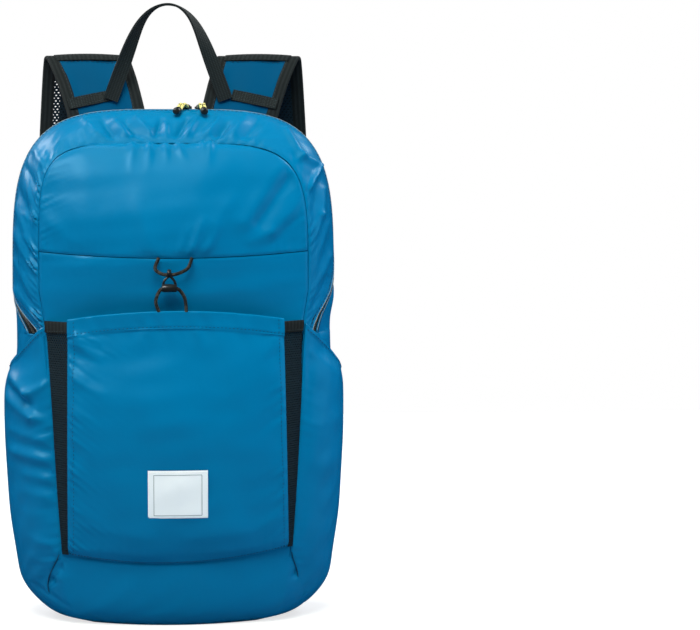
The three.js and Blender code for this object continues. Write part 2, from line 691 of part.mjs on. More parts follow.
// Lower strap end: webbing from the adjuster buckle to the bag's lower corner.
function lowerWebbing() {
  const line = curveThrough(LOWER_WEB);
  const point = (u, v) => line.getPoint(u).add(vec((v - 0.5) * LOWER_WEB_WIDTH, 0, 0));
  return sheet(FACETS.lowerWeb, point, () => WEBBING);
}

// Adjuster buckle: one plain plate, in line with the strap's lower end.
function buckle() {
  const { width, height, thick, narrow, proud } = BUCKLE;
  const plate = new THREE.Shape();
  plate.moveTo(-width / 2, 0).lineTo(width / 2, 0).lineTo(narrow / 2, height).lineTo(-narrow / 2, height);
  const { inner, outer, y, z } = STRAP_END;
  const geometry = new THREE.ExtrudeGeometry(plate, { depth: thick, bevelEnabled: false })
    .rotateX(Math.PI / 2)
    .translate((inner + outer) / 2, y + thick / 2 - proud, z - height - GAP);
  return mergeVertices(geometry.deleteAttribute("normal").deleteAttribute("uv"), 1e-4);
}

const SIDES = [
  { name: "right", side: 1, toSide: (geometry) => geometry },
  { name: "left", side: -1, toSide: mirrored },
];
const yokeEnd = STRAP_FOLD_STATION - STRAP_FOLD_GAP;
const meshStart = STRAP_FOLD_STATION + STRAP_FOLD_GAP;
for (const { name, side, toSide } of SIDES) {
  addNet(name, side, toSide);
  add(`side_pocket_${name}`, toSide(sidePocket(SIDE_POCKET_FOLDS)), BLUE);
  add(`strap_yoke_${name}`, toSide(strapSheet(FACETS.strapYoke, 0, yokeEnd, YOKE_CLOTH)), BLUE);
  const mesh = strapSheet(FACETS.strapMesh, meshStart, STRAP_END.station, MESH);
  add(`strap_mesh_${name}`, toSide(mesh), BLACK_NET);
  add(`strap_binding_outer_${name}`, toSide(strapBinding(true)), BLACK_WEB);
  add(`strap_binding_inner_${name}`, toSide(strapBinding(false)), BLACK_WEB);
  add(`strap_bar_${name}`, toSide(strapBar()), BLACK_WEB);
  add(`strap_webbing_${name}`, toSide(lowerWebbing()), BLACK_WEB);
  add(`strap_buckle_${name}`, toSide(buckle()), BLACK_PLASTIC);
}
add("haul_loop", haulLoop(), BLACK_WEB);

// Label, sewn on the front pocket and left blank.
function label() {
  const point = (u, v) => {
    const x = LABEL.x + LABEL.width * (0.5 - v);
    const z = LABEL.z + LABEL.height * (u - 0.5);
    return vec(x, pocketDepth(x, z) - GAP - LABEL.thick, z);
  };
  return sheet(FACETS.label, point, () => LABEL.thick);
}
add("label", label(), WHITE_LABEL);

// Elastic loops: one hangs from the yoke's seam, the other stands up from the pocket's hem.
add("upper_loop", cordTube(curveThrough(UPPER_LOOP), CORD, FACETS.upperLoop), DARK_CORD);
add("lower_loop", cordTube(curveThrough(LOWER_LOOP), CORD, FACETS.lowerLoop), DARK_CORD);

// Hook: an eye round the upper loop, two legs, and a barrel that the lower loop runs through.
function cordHook() {
  const { x, y, eyeZ, barrelZ } = HOOK;
  const { barrel, eye, wire, bore, wall } = HOOK_SIZE;
  const sleeve = (length, z) => {
    const ring = new THREE.Shape().absarc(0, 0, bore / 2 + wall, 0, 2 * Math.PI, false);
    ring.holes.push(new THREE.Path().absarc(0, 0, bore / 2, 0, 2 * Math.PI, true));
    const shape = { depth: length, bevelEnabled: false, curveSegments: FACETS.sleeve };
    const tube = new THREE.ExtrudeGeometry(ring, shape);
    return solid(tube.rotateY(Math.PI / 2).translate(x - length / 2, y, z));
  };
  const rim = (bore + wall) / 2;
  const leg = (side) => {
    const line = new THREE.LineCurve3(
      vec(x + side * (barrel / 2 - wire / 2), y, barrelZ + rim),
      vec(x + side * HOOK_LEG_SPREAD, y, eyeZ - rim),
    );
    return solid(cordTube(line, wire, 1));
  };
  const body = sleeve(barrel, barrelZ).add(sleeve(eye, eyeZ)).add(leg(-1)).add(leg(1));
  return geometryOf(body);
}
add("cord_hook", cordHook(), BLACK_PLASTIC);

// Run of the gusset at a place across the top.
function runAtTop(x) {
  return turningPoint(0.25, 0.75, (run) => gussetPoint(run, 0).x > x);
}

// Zip sliders at the top, each with a cord pull that lies forward and ends in a tube.
for (const { name, x, sway } of SLIDERS) {
  const run = runAtTop(x);
  const foot = gussetPoint(run, zipRoundAt(run)).add(vec(0, 0, ZIP_PROUD + GAP));
  const [end, half, nose] = [SLIDER.length / 2, SLIDER.width / 2, SLIDER.nose / 2];
  const taper = SLIDER.taper - end;
  const outline = new THREE.Shape();
  outline.moveTo(-end, -nose).lineTo(taper, -half).lineTo(end, -half);
  outline.lineTo(end, half).lineTo(taper, half).lineTo(-end, nose);
  const body = new THREE.ExtrudeGeometry(outline, { depth: SLIDER.thick, bevelEnabled: false });
  add(`zip_slider_${name}`, body.translate(foot.x, foot.y, foot.z), BLACK_PLASTIC);

  const start = foot.clone().add(vec(0, -half - GAP, SLIDER.thick - PULL.cord / 2));
  const finish = start.clone().add(vec(sway, -PULL.reach, -PULL.drop));
  const middle = start.clone().lerp(finish, 0.5).add(vec(0, 0, PULL.arch));
  const pull = curveThrough([start, middle, finish]);
  add(`pull_cord_${name}`, cordTube(pull, PULL.cord, FACETS.pull), YELLOW_CORD);

  const section = [[0, 0], [TIP.neck, 0], [TIP.radius, TIP.shoulder], [TIP.radius, TIP.length]];
  section.push([TIP.bore, TIP.length], [0, TIP.hole]);
  const profile = section.map(([radius, along]) => new THREE.Vector2(radius, along));
  const tip = add(`pull_tip_${name}`, new THREE.LatheGeometry(profile, FACETS.tip), BLACK_PLASTIC);
  const direction = pull.getTangent(1);
  tip.position.copy(finish).addScaledVector(direction, GAP);
  tip.quaternion.setFromUnitVectors(vec(0, 1, 0), direction);
}

// The origin is under the middle of the whole pack, on the surface that it stands on.
pack.updateMatrixWorld(true);
const extent = new THREE.Box3().setFromObject(pack, true);
const middle = extent.getCenter(vec(0, 0, 0));
pack.children.forEach((mesh) => mesh.position.sub(vec(middle.x, middle.y, extent.min.z)));

export default pack;
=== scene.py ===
"""Looks of a lightweight backpack, stuffed and standing: sewn cloth, net, zip, webbing and cords.

Tables are in millimetres, with the depths that the part's own source has; every mesh is in metres.
"""
import logging
import math
from dataclasses import dataclass, field
from enum import Enum
from typing import Any, Callable, Optional, Sequence

import bpy
import numpy as np
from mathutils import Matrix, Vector


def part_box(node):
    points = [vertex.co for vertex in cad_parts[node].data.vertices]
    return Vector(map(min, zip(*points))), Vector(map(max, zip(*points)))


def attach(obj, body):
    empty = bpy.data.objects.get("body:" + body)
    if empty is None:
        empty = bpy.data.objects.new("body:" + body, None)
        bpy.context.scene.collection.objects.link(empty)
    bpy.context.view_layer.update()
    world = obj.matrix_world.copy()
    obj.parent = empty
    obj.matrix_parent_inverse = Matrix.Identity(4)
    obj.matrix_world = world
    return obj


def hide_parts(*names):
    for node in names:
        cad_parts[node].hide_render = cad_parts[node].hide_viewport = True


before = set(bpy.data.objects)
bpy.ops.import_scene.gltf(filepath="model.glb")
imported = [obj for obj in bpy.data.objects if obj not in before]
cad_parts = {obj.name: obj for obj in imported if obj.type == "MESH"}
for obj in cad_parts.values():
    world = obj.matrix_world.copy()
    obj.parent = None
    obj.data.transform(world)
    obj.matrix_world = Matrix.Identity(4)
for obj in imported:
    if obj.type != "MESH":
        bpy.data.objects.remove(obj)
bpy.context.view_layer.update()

LOG = logging.getLogger("backpack")
Array = np.ndarray
Table = Sequence[Sequence[float]]
Pair = tuple[float, float]
Triple = tuple[float, float, float]
Steps = tuple[int, int]
Surface = Callable[[Array, Array], Array]
MM = 0.001
CLOTH_PLACES = "cloth"  # name of the coordinates that the weaves follow, in metres along the cloth

# The part's source centres the pack's depth; its back panel's face tells by how much.
BACK_FACE = 69.0
DEPTH_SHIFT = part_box("back_panel")[1].y / MM - BACK_FACE


class Slot(Enum):
    """The record's material slots."""

    SHELL = "shell_nylon"
    WEBBING = "webbing"
    ZIP = "zip_tape"
    NET = "net"
    PLASTIC = "black_plastic"
    LABEL = "label_cloth"
    YELLOW = "yellow_cord"
    ELASTIC = "elastic_cord"


class Held(Enum):
    """How a piece of cloth is held."""

    STRETCHED = "stretched"
    GATHERED = "gathered"
    FOLDED = "folded"
    LAID = "laid"


class Edge(Enum):
    """The edges of a sheet: its first and last row, and its first and last column."""

    FOOT = "first row"
    HEAD = "last row"
    FIRST = "first column"
    LAST = "last column"


def lerp(start: Any, end: Any, share: Any) -> Any:
    """A value between two others."""
    return start + (end - start) * share


def smooth(value: Array, low: float, high: float) -> Array:
    """A share that rises smoothly from 0 at low to 1 at high."""
    share = np.clip((value - low) / (high - low), 0.0, 1.0)
    return share * share * (3 - 2 * share)


def spread(count: int, crowd: float = 0.55) -> Array:
    """Shares from 0 to 1 that crowd towards both ends.

    Args:
        count: Number of steps.
        crowd: 0 for even steps, 1 for the most crowded ends.

    Returns:
        The count + 1 shares.
    """
    even = np.linspace(0.0, 1.0, count + 1)
    return lerp(even, 0.5 - 0.5 * np.cos(np.pi * even), crowd)


def unit(vectors: Array) -> Array:
    """The same directions with a length of 1."""
    return vectors / np.maximum(np.linalg.norm(vectors, axis=-1, keepdims=True), 1e-9)


def points_at(x: Any, y: Any, z: Any) -> Array:
    """Points from their three coordinates, each an array or a single number."""
    return np.stack(np.broadcast_arrays(x, y, z), axis=-1)


def distances(line: Array) -> Array:
    """How far along a line each of its points lies."""
    return np.concatenate([[0], np.cumsum(np.linalg.norm(np.diff(line, axis=0), axis=1))])


def read_along(at: Array, stations: Array, line: Array) -> Array:
    """Points of a line at the distances asked for, where stations are the distances of its own points."""
    return np.stack([np.interp(at, stations, line[:, k]) for k in range(3)], axis=-1)


def quads(*corners: Array) -> Array:
    """Faces from the indices of their first, second, third and fourth corners."""
    return np.stack([corner.ravel() for corner in corners], axis=1)


def wander(place: Array, spacing: float, seed: int) -> Array:
    """A smooth random line.

    Args:
        place: Where it is read, in millimetres.
        spacing: Its usual wavelength.
        seed: Picks the line.

    Returns:
        Heights that mostly lie between -1 and 1.
    """
    draw = np.random.RandomState(seed)
    total = np.zeros_like(place)
    waves = 5
    for _ in range(waves):
        wave = spacing * draw.uniform(0.7, 1.7)
        total = total + np.sin(2 * np.pi * (place / wave + draw.uniform()))
    return total / math.sqrt(waves)


def ripple(across: Array, up: Array, spacing: float, seed: int) -> Array:
    """A smooth random surface, for the slackness of cloth.

    Args:
        across: First coordinate, in millimetres.
        up: Second coordinate.
        spacing: Its usual wavelength.
        seed: Picks the surface.

    Returns:
        Heights that mostly lie between -1 and 1.
    """
    draw = np.random.RandomState(seed)
    total = np.zeros_like(across)
    waves = 7
    for _ in range(waves):
        turn = draw.uniform(0, np.pi)
        wave = spacing * draw.uniform(0.7, 1.5)
        along = across * math.cos(turn) + up * math.sin(turn)
        total = total + np.sin(2 * np.pi * (along / wave + draw.uniform()))
    return total / math.sqrt(waves)


def creases(rows: Table, a: Array, b: Array) -> Array:
    """Heights of a table of creases, which are ridges, or dents where their heights are negative.

    Args:
        rows: Where each crease starts and ends, its width, and its heights at the start and the end.
        a: First coordinate on the panel, in millimetres.
        b: Second coordinate.

    Returns:
        The height at each place.
    """
    height = np.zeros_like(a)
    for from_a, from_b, to_a, to_b, width, start, end in rows:
        run_a, run_b = to_a - from_a, to_b - from_b
        share = ((a - from_a) * run_a + (b - from_b) * run_b) / (run_a**2 + run_b**2)
        share = np.clip(share, 0.0, 1.0)
        away = np.hypot(a - from_a - share * run_a, b - from_b - share * run_b)
        height = height + lerp(start, end, share) * np.exp(-((away / width) ** 1.7))
    return height


class SmoothTable:
    """A table that is read between its rows on a smooth curve through them."""

    def __init__(self, columns: str, rows: Table) -> None:
        """Keeps the rows; the first column is the one that the table is read by."""
        self.names = columns.split()
        self.rows = np.array(rows, float)

    def read(self, place: Any) -> dict[str, Array]:
        """Reads every column.

        Args:
            place: Values of the first column.

        Returns:
            The columns by name.
        """
        keys = self.rows[:, 0]
        last = len(keys) - 1
        at = np.clip(np.asarray(place, float), keys[0], keys[-1])
        i = np.clip(np.searchsorted(keys, at, side="left") - 1, 0, last - 1)
        before, low = self.rows[np.maximum(i - 1, 0)], self.rows[i]
        high, after = self.rows[i + 1], self.rows[np.minimum(i + 2, last)]
        span = high[..., :1] - low[..., :1]
        share = (at[..., None] - low[..., :1]) / span
        leave = (high - before) * span / (high[..., :1] - before[..., :1])
        arrive = (after - low) * span / (after[..., :1] - low[..., :1])
        rise = high - low
        values = low + share * leave + share**2 * (3 * rise - 2 * leave - arrive)
        values = values + share**3 * (leave + arrive - 2 * rise)
        return dict(zip(self.names, np.moveaxis(values, -1, 0)))


def path_through(points: Table, count: int) -> Array:
    """A smooth path through a few points.

    Args:
        points: The points, in millimetres.
        count: Number of steps along the path.

    Returns:
        The path's count + 1 points.
    """
    rows = [(station, *point) for station, point in enumerate(points)]
    read = SmoothTable("station x y z", rows).read(np.linspace(0, len(points) - 1, count + 1))
    return points_at(read["x"], read["y"], read["z"])


# Meshes


@dataclass
class Shape:
    """Closed bodies that make up one piece, in millimetres, with their cloth coordinates in metres."""

    points: list[Array] = field(default_factory=list)
    places: list[Array] = field(default_factory=list)
    faces: list[Array] = field(default_factory=list)
    count: int = 0

    def add(self, points: Array, faces: Sequence[Array], places: Optional[Array] = None) -> "Shape":
        """Adds closed bodies, turned so that their faces point out.

        Args:
            points: Corner points.
            faces: Groups of faces with the same number of corners.
            places: Cloth coordinates of the points.

        Returns:
            This shape.
        """
        volume = 0.0
        for group in faces:
            for k in range(1, group.shape[1] - 1):
                a, b, c = points[group[:, 0]], points[group[:, k]], points[group[:, k + 1]]
                volume += float((a * np.cross(b, c)).sum())
        for group in faces:
            self.faces.append((group[:, ::-1] if volume < 0 else group) + self.count)
        self.points.append(points)
        self.places.append(np.zeros((len(points), 2)) if places is None else places)
        self.count += len(points)
        return self

    def piece(self, name: str, finish: "Finish", slot: Slot, *nodes: str) -> bpy.types.Object:
        """Makes the piece, which rides on the pack.

        Args:
            name: The piece's name.
            finish: Its finish.
            slot: The record's slot that the finish belongs to; not used.
            nodes: The solids that it stands for.

        Returns:
            The new object.
        """
        mesh = bpy.data.meshes.new(name)
        placed = (np.concatenate(self.points) + [0.0, DEPTH_SHIFT, 0.0]) * MM
        mesh.from_pydata(placed.tolist(), [], [face for group in self.faces for face in group.tolist()])
        corners = np.zeros(len(mesh.loops), dtype=np.int32)
        mesh.loops.foreach_get("vertex_index", corners)
        layer = mesh.uv_layers.new(name=CLOTH_PLACES)
        layer.data.foreach_set("uv", np.concatenate(self.places)[corners].ravel())
        mesh.shade_smooth()
        mesh.set_sharp_from_angle(angle=math.radians(48))
        mesh.materials.append(finish.material())
        made = bpy.data.objects.new(name, mesh)
        bpy.context.scene.collection.objects.link(made)
        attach(made, "root")
        if nodes:
            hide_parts(*nodes)
        LOG.info("%s: %d faces", name, len(mesh.polygons))
        return made


@dataclass
class Sheet:
    """A sheet of cloth as rows and columns of points on its outer face."""

    points: Array

    def outward(self) -> Array:
        """The directions out of the outer face."""
        along, across = np.gradient(self.points, axis=0), np.gradient(self.points, axis=1)
        return unit(np.cross(along, across))

    def lengths(self, axis: int) -> Array:
        """Lengths along the cloth.

        Args:
            axis: 0 for lengths along the columns, 1 for those along the rows.

        Returns:
            How far each point is along, in millimetres.
        """
        steps = np.linalg.norm(np.diff(self.points, axis=axis), axis=-1)
        pad = [(0, 0), (0, 0)]
        pad[axis] = (1, 0)
        return np.pad(np.cumsum(steps, axis=axis), pad)

    def from_edge(self, edge: Edge) -> tuple[Array, Array]:
        """Places seen from one edge.

        Args:
            edge: The edge.

        Returns:
            How far along the edge each point is, and how far away from it.
        """
        axis = 0 if edge in (Edge.FOOT, Edge.HEAD) else 1
        away = self.lengths(axis)
        along = self.lengths(1 - axis)
        line = 0 if edge in (Edge.FOOT, Edge.FIRST) else -1
        if line == -1:
            away = away.take([-1], axis=axis) - away
        return np.broadcast_to(along.take([line], axis=axis), away.shape), away

    def raised(self, height: Any) -> "Sheet":
        """The sheet with each point moved out by a height."""
        return Sheet(self.points + self.outward() * np.asarray(height, float)[..., None])

    def flat(self) -> Triple:
        """Measures the flat cut.

        Returns:
            Its width and length in metres, and its area in square metres.
        """
        width, length = float(self.lengths(1)[:, -1].max()), float(self.lengths(0)[-1].max())
        along, across = np.diff(self.points, axis=0)[:, :-1], np.diff(self.points, axis=1)[:-1]
        area = float(np.linalg.norm(np.cross(along, across), axis=-1).sum())
        return width * MM, length * MM, min(area, width * length) * MM * MM

    def line(self, edge: Edge, away: float, lift: float) -> tuple[Array, Array]:
        """A line along an edge, such as a row of stitches.

        Args:
            edge: The edge that it follows.
            away: Its distance from the edge.
            lift: How far it lies above the cloth.

        Returns:
            The line's points, and the directions out of the cloth there.
        """
        distance, points, normals = self.from_edge(edge)[1], self.points, self.outward()
        if edge in (Edge.FOOT, Edge.HEAD):
            distance = distance.T
            points, normals = points.swapaxes(0, 1), normals.swapaxes(0, 1)
        order = slice(None) if edge in (Edge.FOOT, Edge.FIRST) else slice(None, None, -1)
        found = np.array([
            [np.interp(away, row[order], value[order, k]) for value in (at, out) for k in range(3)]
            for row, at, out in zip(distance, points, normals)
        ])
        normals = unit(found[:, 3:])
        return found[:, :3] + normals * lift, normals

    def walled(self, thick: Any, shape: Optional[Shape] = None) -> Shape:
        """The sheet as a closed wall.

        Args:
            thick: Its thickness, or one for each point.
            shape: A shape that the wall is added to.

        Returns:
            The shape.
        """
        rows, columns = self.points.shape[:2]
        depth = np.broadcast_to(np.asarray(thick, float), (rows, columns))
        inner = self.points - self.outward() * depth[..., None]
        index = np.arange(rows * columns).reshape(rows, columns)
        outside = quads(index[:-1, :-1], index[1:, :-1], index[1:, 1:], index[:-1, 1:])
        border = np.concatenate([index[:-1, 0], index[-1, :-1], index[:0:-1, -1], index[0, :0:-1]])
        onward = np.roll(border, -1)
        shift = rows * columns
        rim = quads(onward, border, border + shift, onward + shift)
        places = np.stack([self.lengths(0), self.lengths(1)], axis=-1).reshape(-1, 2) * MM
        return (shape or Shape()).add(
            np.concatenate([self.points.reshape(-1, 3), inner.reshape(-1, 3)]),
            [outside, outside[:, ::-1] + shift, rim],
            np.concatenate([places, places]),
        )


@dataclass(frozen=True)
class Seam:
    """How an edge is sewn: the groove that it lies in, and the puckers that its thread draws up."""

    edge: Edge
    groove: float = 1.2
    groove_width: float = 2.4
    pucker: float = 0.5
    spacing: float = 8.0
    reach: float = 10.0
    slant: float = 0.0
    seed: int = 1
    strength: Table = ((0.0, 1.0), (1.0, 1.0))  # shares of the edge, and the puckers' strength there
    flat_by_edge: float = 1.8
    hold: float = 6.0  # how far from the edge it holds the panel's folds down

    def height(self, sheet: Sheet) -> Array:
        """Raises the puckers and sinks the groove.

        Args:
            sheet: The plain panel.

        Returns:
            The height at each point.
        """
        along, away = sheet.from_edge(self.edge)
        shares, factors = zip(*self.strength)
        factor = np.interp(along / along.max(), shares, factors)
        line = along + self.slant * away
        fine = np.abs(wander(line, 2 * self.spacing, self.seed)) - 0.55
        slow = wander(along, 9 * self.spacing, self.seed + 1)
        coming_and_going = 0.35 + 0.65 * np.clip(0.5 + 0.7 * slow, 0, 1)
        uneven = wander(along, 3 * self.spacing, self.seed + 2)
        reach = self.reach * (0.5 + np.clip(0.5 + 0.5 * uneven, 0, 1))
        fade = np.exp(-away / reach) * (1 - np.exp(-((away / self.flat_by_edge) ** 2)))
        groove = -self.groove * np.exp(-((away / self.groove_width) ** 2))
        return groove + self.pucker * factor * coming_and_going * fine * fade


def sewn(sheet: Sheet, seams: Sequence[Seam], relief: Any) -> Sheet:
    """A panel with its seams, and its folds held down at them.

    Args:
        sheet: The plain panel.
        seams: Its seams.
        relief: Heights of its folds and slackness.

    Returns:
        The sewn panel.
    """
    hold = np.ones(sheet.points.shape[:2])
    drawn = np.zeros_like(hold)
    for seam in seams:
        away = sheet.from_edge(seam.edge)[1]
        hold = hold * (1 - np.exp(-((away / seam.hold) ** 2)))
        drawn = drawn + seam.height(sheet)
    return sheet.raised(drawn + hold * relief)


def tube(
    path: Array,
    wide: Any,
    high: Any = None,
    sides: int = 10,
    up: Sequence[float] = (0.0, 1.0, 0.0),
    square: float = 2.0,
    shape: Optional[Shape] = None,
) -> Shape:
    """A closed rod along a path.

    Args:
        path: The points along its middle.
        wide: Half its width, or one for each point.
        high: Half its height, where that differs.
        sides: Number of sides.
        up: The direction that its height is measured nearest to.
        square: 2 for a round section, more for a squarer one.
        shape: A shape that the rod is added to.

    Returns:
        The shape.
    """
    forward = unit(np.gradient(path, axis=0))
    side = unit(np.cross(forward, np.asarray(up, float)))
    rise = np.cross(side, forward)
    turn = np.linspace(0, 2 * np.pi, sides, endpoint=False)
    cos, sin = (np.sign(f) * np.abs(f) ** (2 / square) for f in (np.cos(turn), np.sin(turn)))
    width = np.broadcast_to(np.asarray(wide, float), len(path))[:, None, None]
    height = width if high is None else np.broadcast_to(np.asarray(high, float), len(path))[:, None, None]
    rings = path[:, None] + side[:, None] * cos[:, None] * width + rise[:, None] * sin[:, None] * height
    index = np.arange(len(path) * sides).reshape(len(path), sides)
    ahead = np.roll(index, -1, axis=1)
    skin = quads(index[:-1], ahead[:-1], ahead[1:], index[1:])
    around = turn * float(np.mean(width))
    places = np.stack(np.broadcast_arrays(distances(path)[:, None], around), axis=-1) * MM
    caps = [index[:1, ::-1], index[-1:]]
    return (shape or Shape()).add(rings.reshape(-1, 3), [skin, *caps], places.reshape(-1, 2))


def ring_about_x(
    section: Table,
    centre: Sequence[float],
    sides: int,
    shape: Shape,
) -> Shape:
    """A ring turned about a line along X.

    Args:
        section: Its closed section, as pairs of a place along X and a radius.
        centre: The ring's middle.
        sides: Number of sides.
        shape: The shape that it is added to.

    Returns:
        The shape.
    """
    along, radius = np.array(section, float).T
    turn = np.linspace(0, 2 * np.pi, sides, endpoint=False)
    points = points_at(along[:, None], radius[:, None] * np.cos(turn), radius[:, None] * np.sin(turn))
    index = np.arange(len(along) * sides).reshape(-1, sides)
    beside = np.roll(index, -1, axis=0)
    skin = quads(index, np.roll(index, -1, axis=1), np.roll(beside, -1, axis=1), beside)
    return shape.add(points.reshape(-1, 3) + np.asarray(centre, float), [skin])


def stitches(
    line: Array,
    normals: Array,
    shape: Shape,
    long: float = 2.6,
    gap: float = 1.3,
    thick: float = 0.55,
) -> None:
    """Adds a row of stitches.

    Args:
        line: The line that they follow.
        normals: Directions out of the cloth along it.
        shape: The shape that they are added to.
        long: Length of a stitch.
        gap: Space between two stitches.
        thick: Thickness of the thread.
    """
    stations = distances(line)
    middles = np.arange(long, stations[-1] - long, long + gap)
    profile = np.array([(-0.5, 0.35, -0.4), (-0.3, 1.0, 0.0), (0.3, 1.0, 0.0), (0.5, 0.35, -0.4)])
    places, girths, lifts = profile.T
    at = middles[:, None] + places * long
    spots = read_along(at, stations, line)
    out = unit(read_along(at, stations, normals))
    side = unit(np.cross(unit(np.gradient(spots, axis=1)), out))
    sides = 5
    turn = np.linspace(0, 2 * np.pi, sides, endpoint=False)
    radius = (thick / 2 * girths)[None, :, None, None]
    spots = spots + out * (thick * lifts)[None, :, None]
    swing = side[:, :, None] * np.cos(turn)[:, None] + out[:, :, None] * np.sin(turn)[:, None]
    rings = spots[:, :, None] + swing * radius
    index = np.arange(rings[..., 0].size).reshape(rings.shape[:3])
    ahead = np.roll(index, -1, axis=2)
    skin = quads(index[:, :-1], ahead[:, :-1], ahead[:, 1:], index[:, 1:])
    shape.add(rings.reshape(-1, 3), [skin, index[:, 0, ::-1], index[:, -1]])


def hex_net(
    surface: Surface,
    size: Pair,
    pitch: float,
    bar: float,
    thick: float,
) -> Shape:
    """A knitted net with a real hole in each cell.

    Args:
        surface: Points for shares along and across the net.
        size: The net's length and width, in millimetres.
        pitch: From one hole to the next.
        bar: Width of the yarn bars between holes.
        thick: Thickness of the net.

    Returns:
        The closed net.
    """
    length, width = size
    across = width / max(round(width / pitch), 1)
    row_step = pitch * math.sqrt(3) / 2
    centres = [
        (row * row_step, (column + 0.5 * (row % 2)) * across)
        for row in range(int(length / row_step) + 1)
        for column in range(int(round(width / across)) + 1)
    ]
    middle = np.array(centres)
    turn = np.radians(np.arange(6) * 60.0)
    spokes = np.stack([np.cos(turn) * pitch / math.sqrt(3), np.sin(turn) * across / math.sqrt(3)], axis=-1)
    outer = np.clip(middle[:, None] + spokes, 0.0, size)
    inner = np.clip(middle[:, None] + spokes * (1 - bar / pitch), 0.0, size)
    smallest_hole = 0.2 * pitch
    keep = (np.ptp(inner, axis=1) > smallest_hole).all(axis=1)
    outer, inner = outer[keep], inner[keep]
    shared, which = np.unique(np.round(outer.reshape(-1, 2), 3), axis=0, return_inverse=True)
    rim = which.reshape(-1, 6)
    hole = len(shared) + np.arange(inner.shape[0] * 6).reshape(-1, 6)
    flat = np.concatenate([shared, inner.reshape(-1, 2)])
    u, v = flat[:, 0] / length, flat[:, 1] / width
    face = surface(u, v)
    step = 1e-3
    along = surface(np.minimum(u + step, 1), v) - surface(np.maximum(u - step, 0), v)
    aside = surface(u, np.minimum(v + step, 1)) - surface(u, np.maximum(v - step, 0))
    back = face - unit(np.cross(along, aside)) * thick
    shift = len(flat)
    rim_on, hole_on = np.roll(rim, -1, axis=1), np.roll(hole, -1, axis=1)
    front = quads(rim, rim_on, hole_on, hole)
    walls = quads(hole, hole_on, hole_on + shift, hole + shift)
    edges = np.stack([rim.ravel(), rim_on.ravel()], axis=1)
    _, first, uses = np.unique(np.sort(edges, axis=1), axis=0, return_index=True, return_counts=True)
    start, end = edges[first[uses == 1]].T
    border = quads(end, start, start + shift, end + shift)
    return Shape().add(
        np.concatenate([face, back]),
        [front, front[:, ::-1] + shift, walls, border],
        np.concatenate([flat, flat]) * MM,
    )


def declare(cut: Sheet, held: Held) -> None:
    """Measures the flat cut size of a piece of cloth's plain sheet; nothing is done with the measures."""
    width, length, area = cut.flat()


# Finishes


def linear(colour: str) -> tuple[float, float, float, float]:
    """Turns an sRGB colour into a linear one.

    Args:
        colour: A hex colour such as #0878ad.

    Returns:
        Linear red, green, blue and alpha.
    """
    parts = [int(colour[i:i + 2], 16) / 255 for i in (1, 3, 5)]
    red, green, blue = (c / 12.92 if c <= 0.04045 else ((c + 0.055) / 1.055) ** 2.4 for c in parts)
    return (red, green, blue, 1.0)


def node(
    tree: Any,
    kind: str,
    values: Optional[dict] = None,
    links: Optional[dict] = None,
    **settings: Any,
) -> Any:
    """Adds one shader node.

    Args:
        tree: The node tree.
        kind: The node's type.
        values: Socket values, by the socket's name or number.
        links: Sockets of other nodes that feed this one, by its socket's name or number.
        settings: The node's own settings.

    Returns:
        The node.
    """
    added = tree.nodes.new(kind)
    for name, value in settings.items():
        setattr(added, name, value)
    for name, value in (values or {}).items():
        added.inputs[name].default_value = value
    for name, socket in (links or {}).items():
        tree.links.new(socket, added.inputs[name])
    return added


def bands(spacing: float) -> float:
    """Scale of a wave texture whose bands lie this many millimetres apart."""
    return math.pi / 10 / (spacing * MM)


def grains(size: float) -> float:
    """Scale of a noise texture whose blotches are about this many millimetres across."""
    return 1 / (size * MM)


@dataclass(frozen=True)
class Finish:
    """A finish; each kind says how its surface is made."""

    name: str
    colour: str
    shade: str
    roughness: float = 0.6

    def material(self) -> bpy.types.Material:
        """Makes the finish's material the first time that it is asked for.

        Returns:
            The material.
        """
        if self.name not in bpy.data.materials:
            self.make()
        return bpy.data.materials[self.name]

    def begin(self, values: dict) -> tuple[Any, Any]:
        """Starts the material with one shader.

        Args:
            values: The shader's constant values.

        Returns:
            The material's node tree and its shader.
        """
        made = bpy.data.materials.new(self.name)
        made.use_nodes = True
        tree = made.node_tree
        tree.nodes.clear()
        shader = node(tree, "ShaderNodeBsdfPrincipled", values)
        node(tree, "ShaderNodeOutputMaterial", links={"Surface": shader.outputs[0]})
        return tree, shader

    def tint(self, tree: Any, shader: Any, factor: Any, roughness: Pair) -> None:
        """Runs the colour and the roughness between two values.

        Args:
            tree: The node tree.
            shader: The shader.
            factor: The socket that says how far.
            roughness: The two roughnesses.
        """
        colours = {6: linear(self.colour), 7: linear(self.shade)}
        mix = node(tree, "ShaderNodeMix", colours, {0: factor}, data_type="RGBA")
        low, high = roughness
        rough = node(tree, "ShaderNodeMapRange", {"To Min": low, "To Max": high}, {"Value": factor})
        tree.links.new(mix.outputs[2], shader.inputs["Base Color"])
        tree.links.new(rough.outputs[0], shader.inputs["Roughness"])

    def emboss(self, tree: Any, shader: Any, height: Any, strength: float, depth: float) -> None:
        """Raises a pattern in relief.

        Args:
            tree: The node tree.
            shader: The shader.
            height: The socket with the pattern.
            strength: How strongly it shows.
            depth: Its depth, in millimetres.
        """
        sizes = {"Strength": strength, "Distance": depth * MM}
        relief = node(tree, "ShaderNodeBump", sizes, {"Height": height})
        tree.links.new(relief.outputs[0], shader.inputs["Normal"])

    def make(self) -> None:
        """Builds the material; each kind of finish has its own."""
        raise NotImplementedError


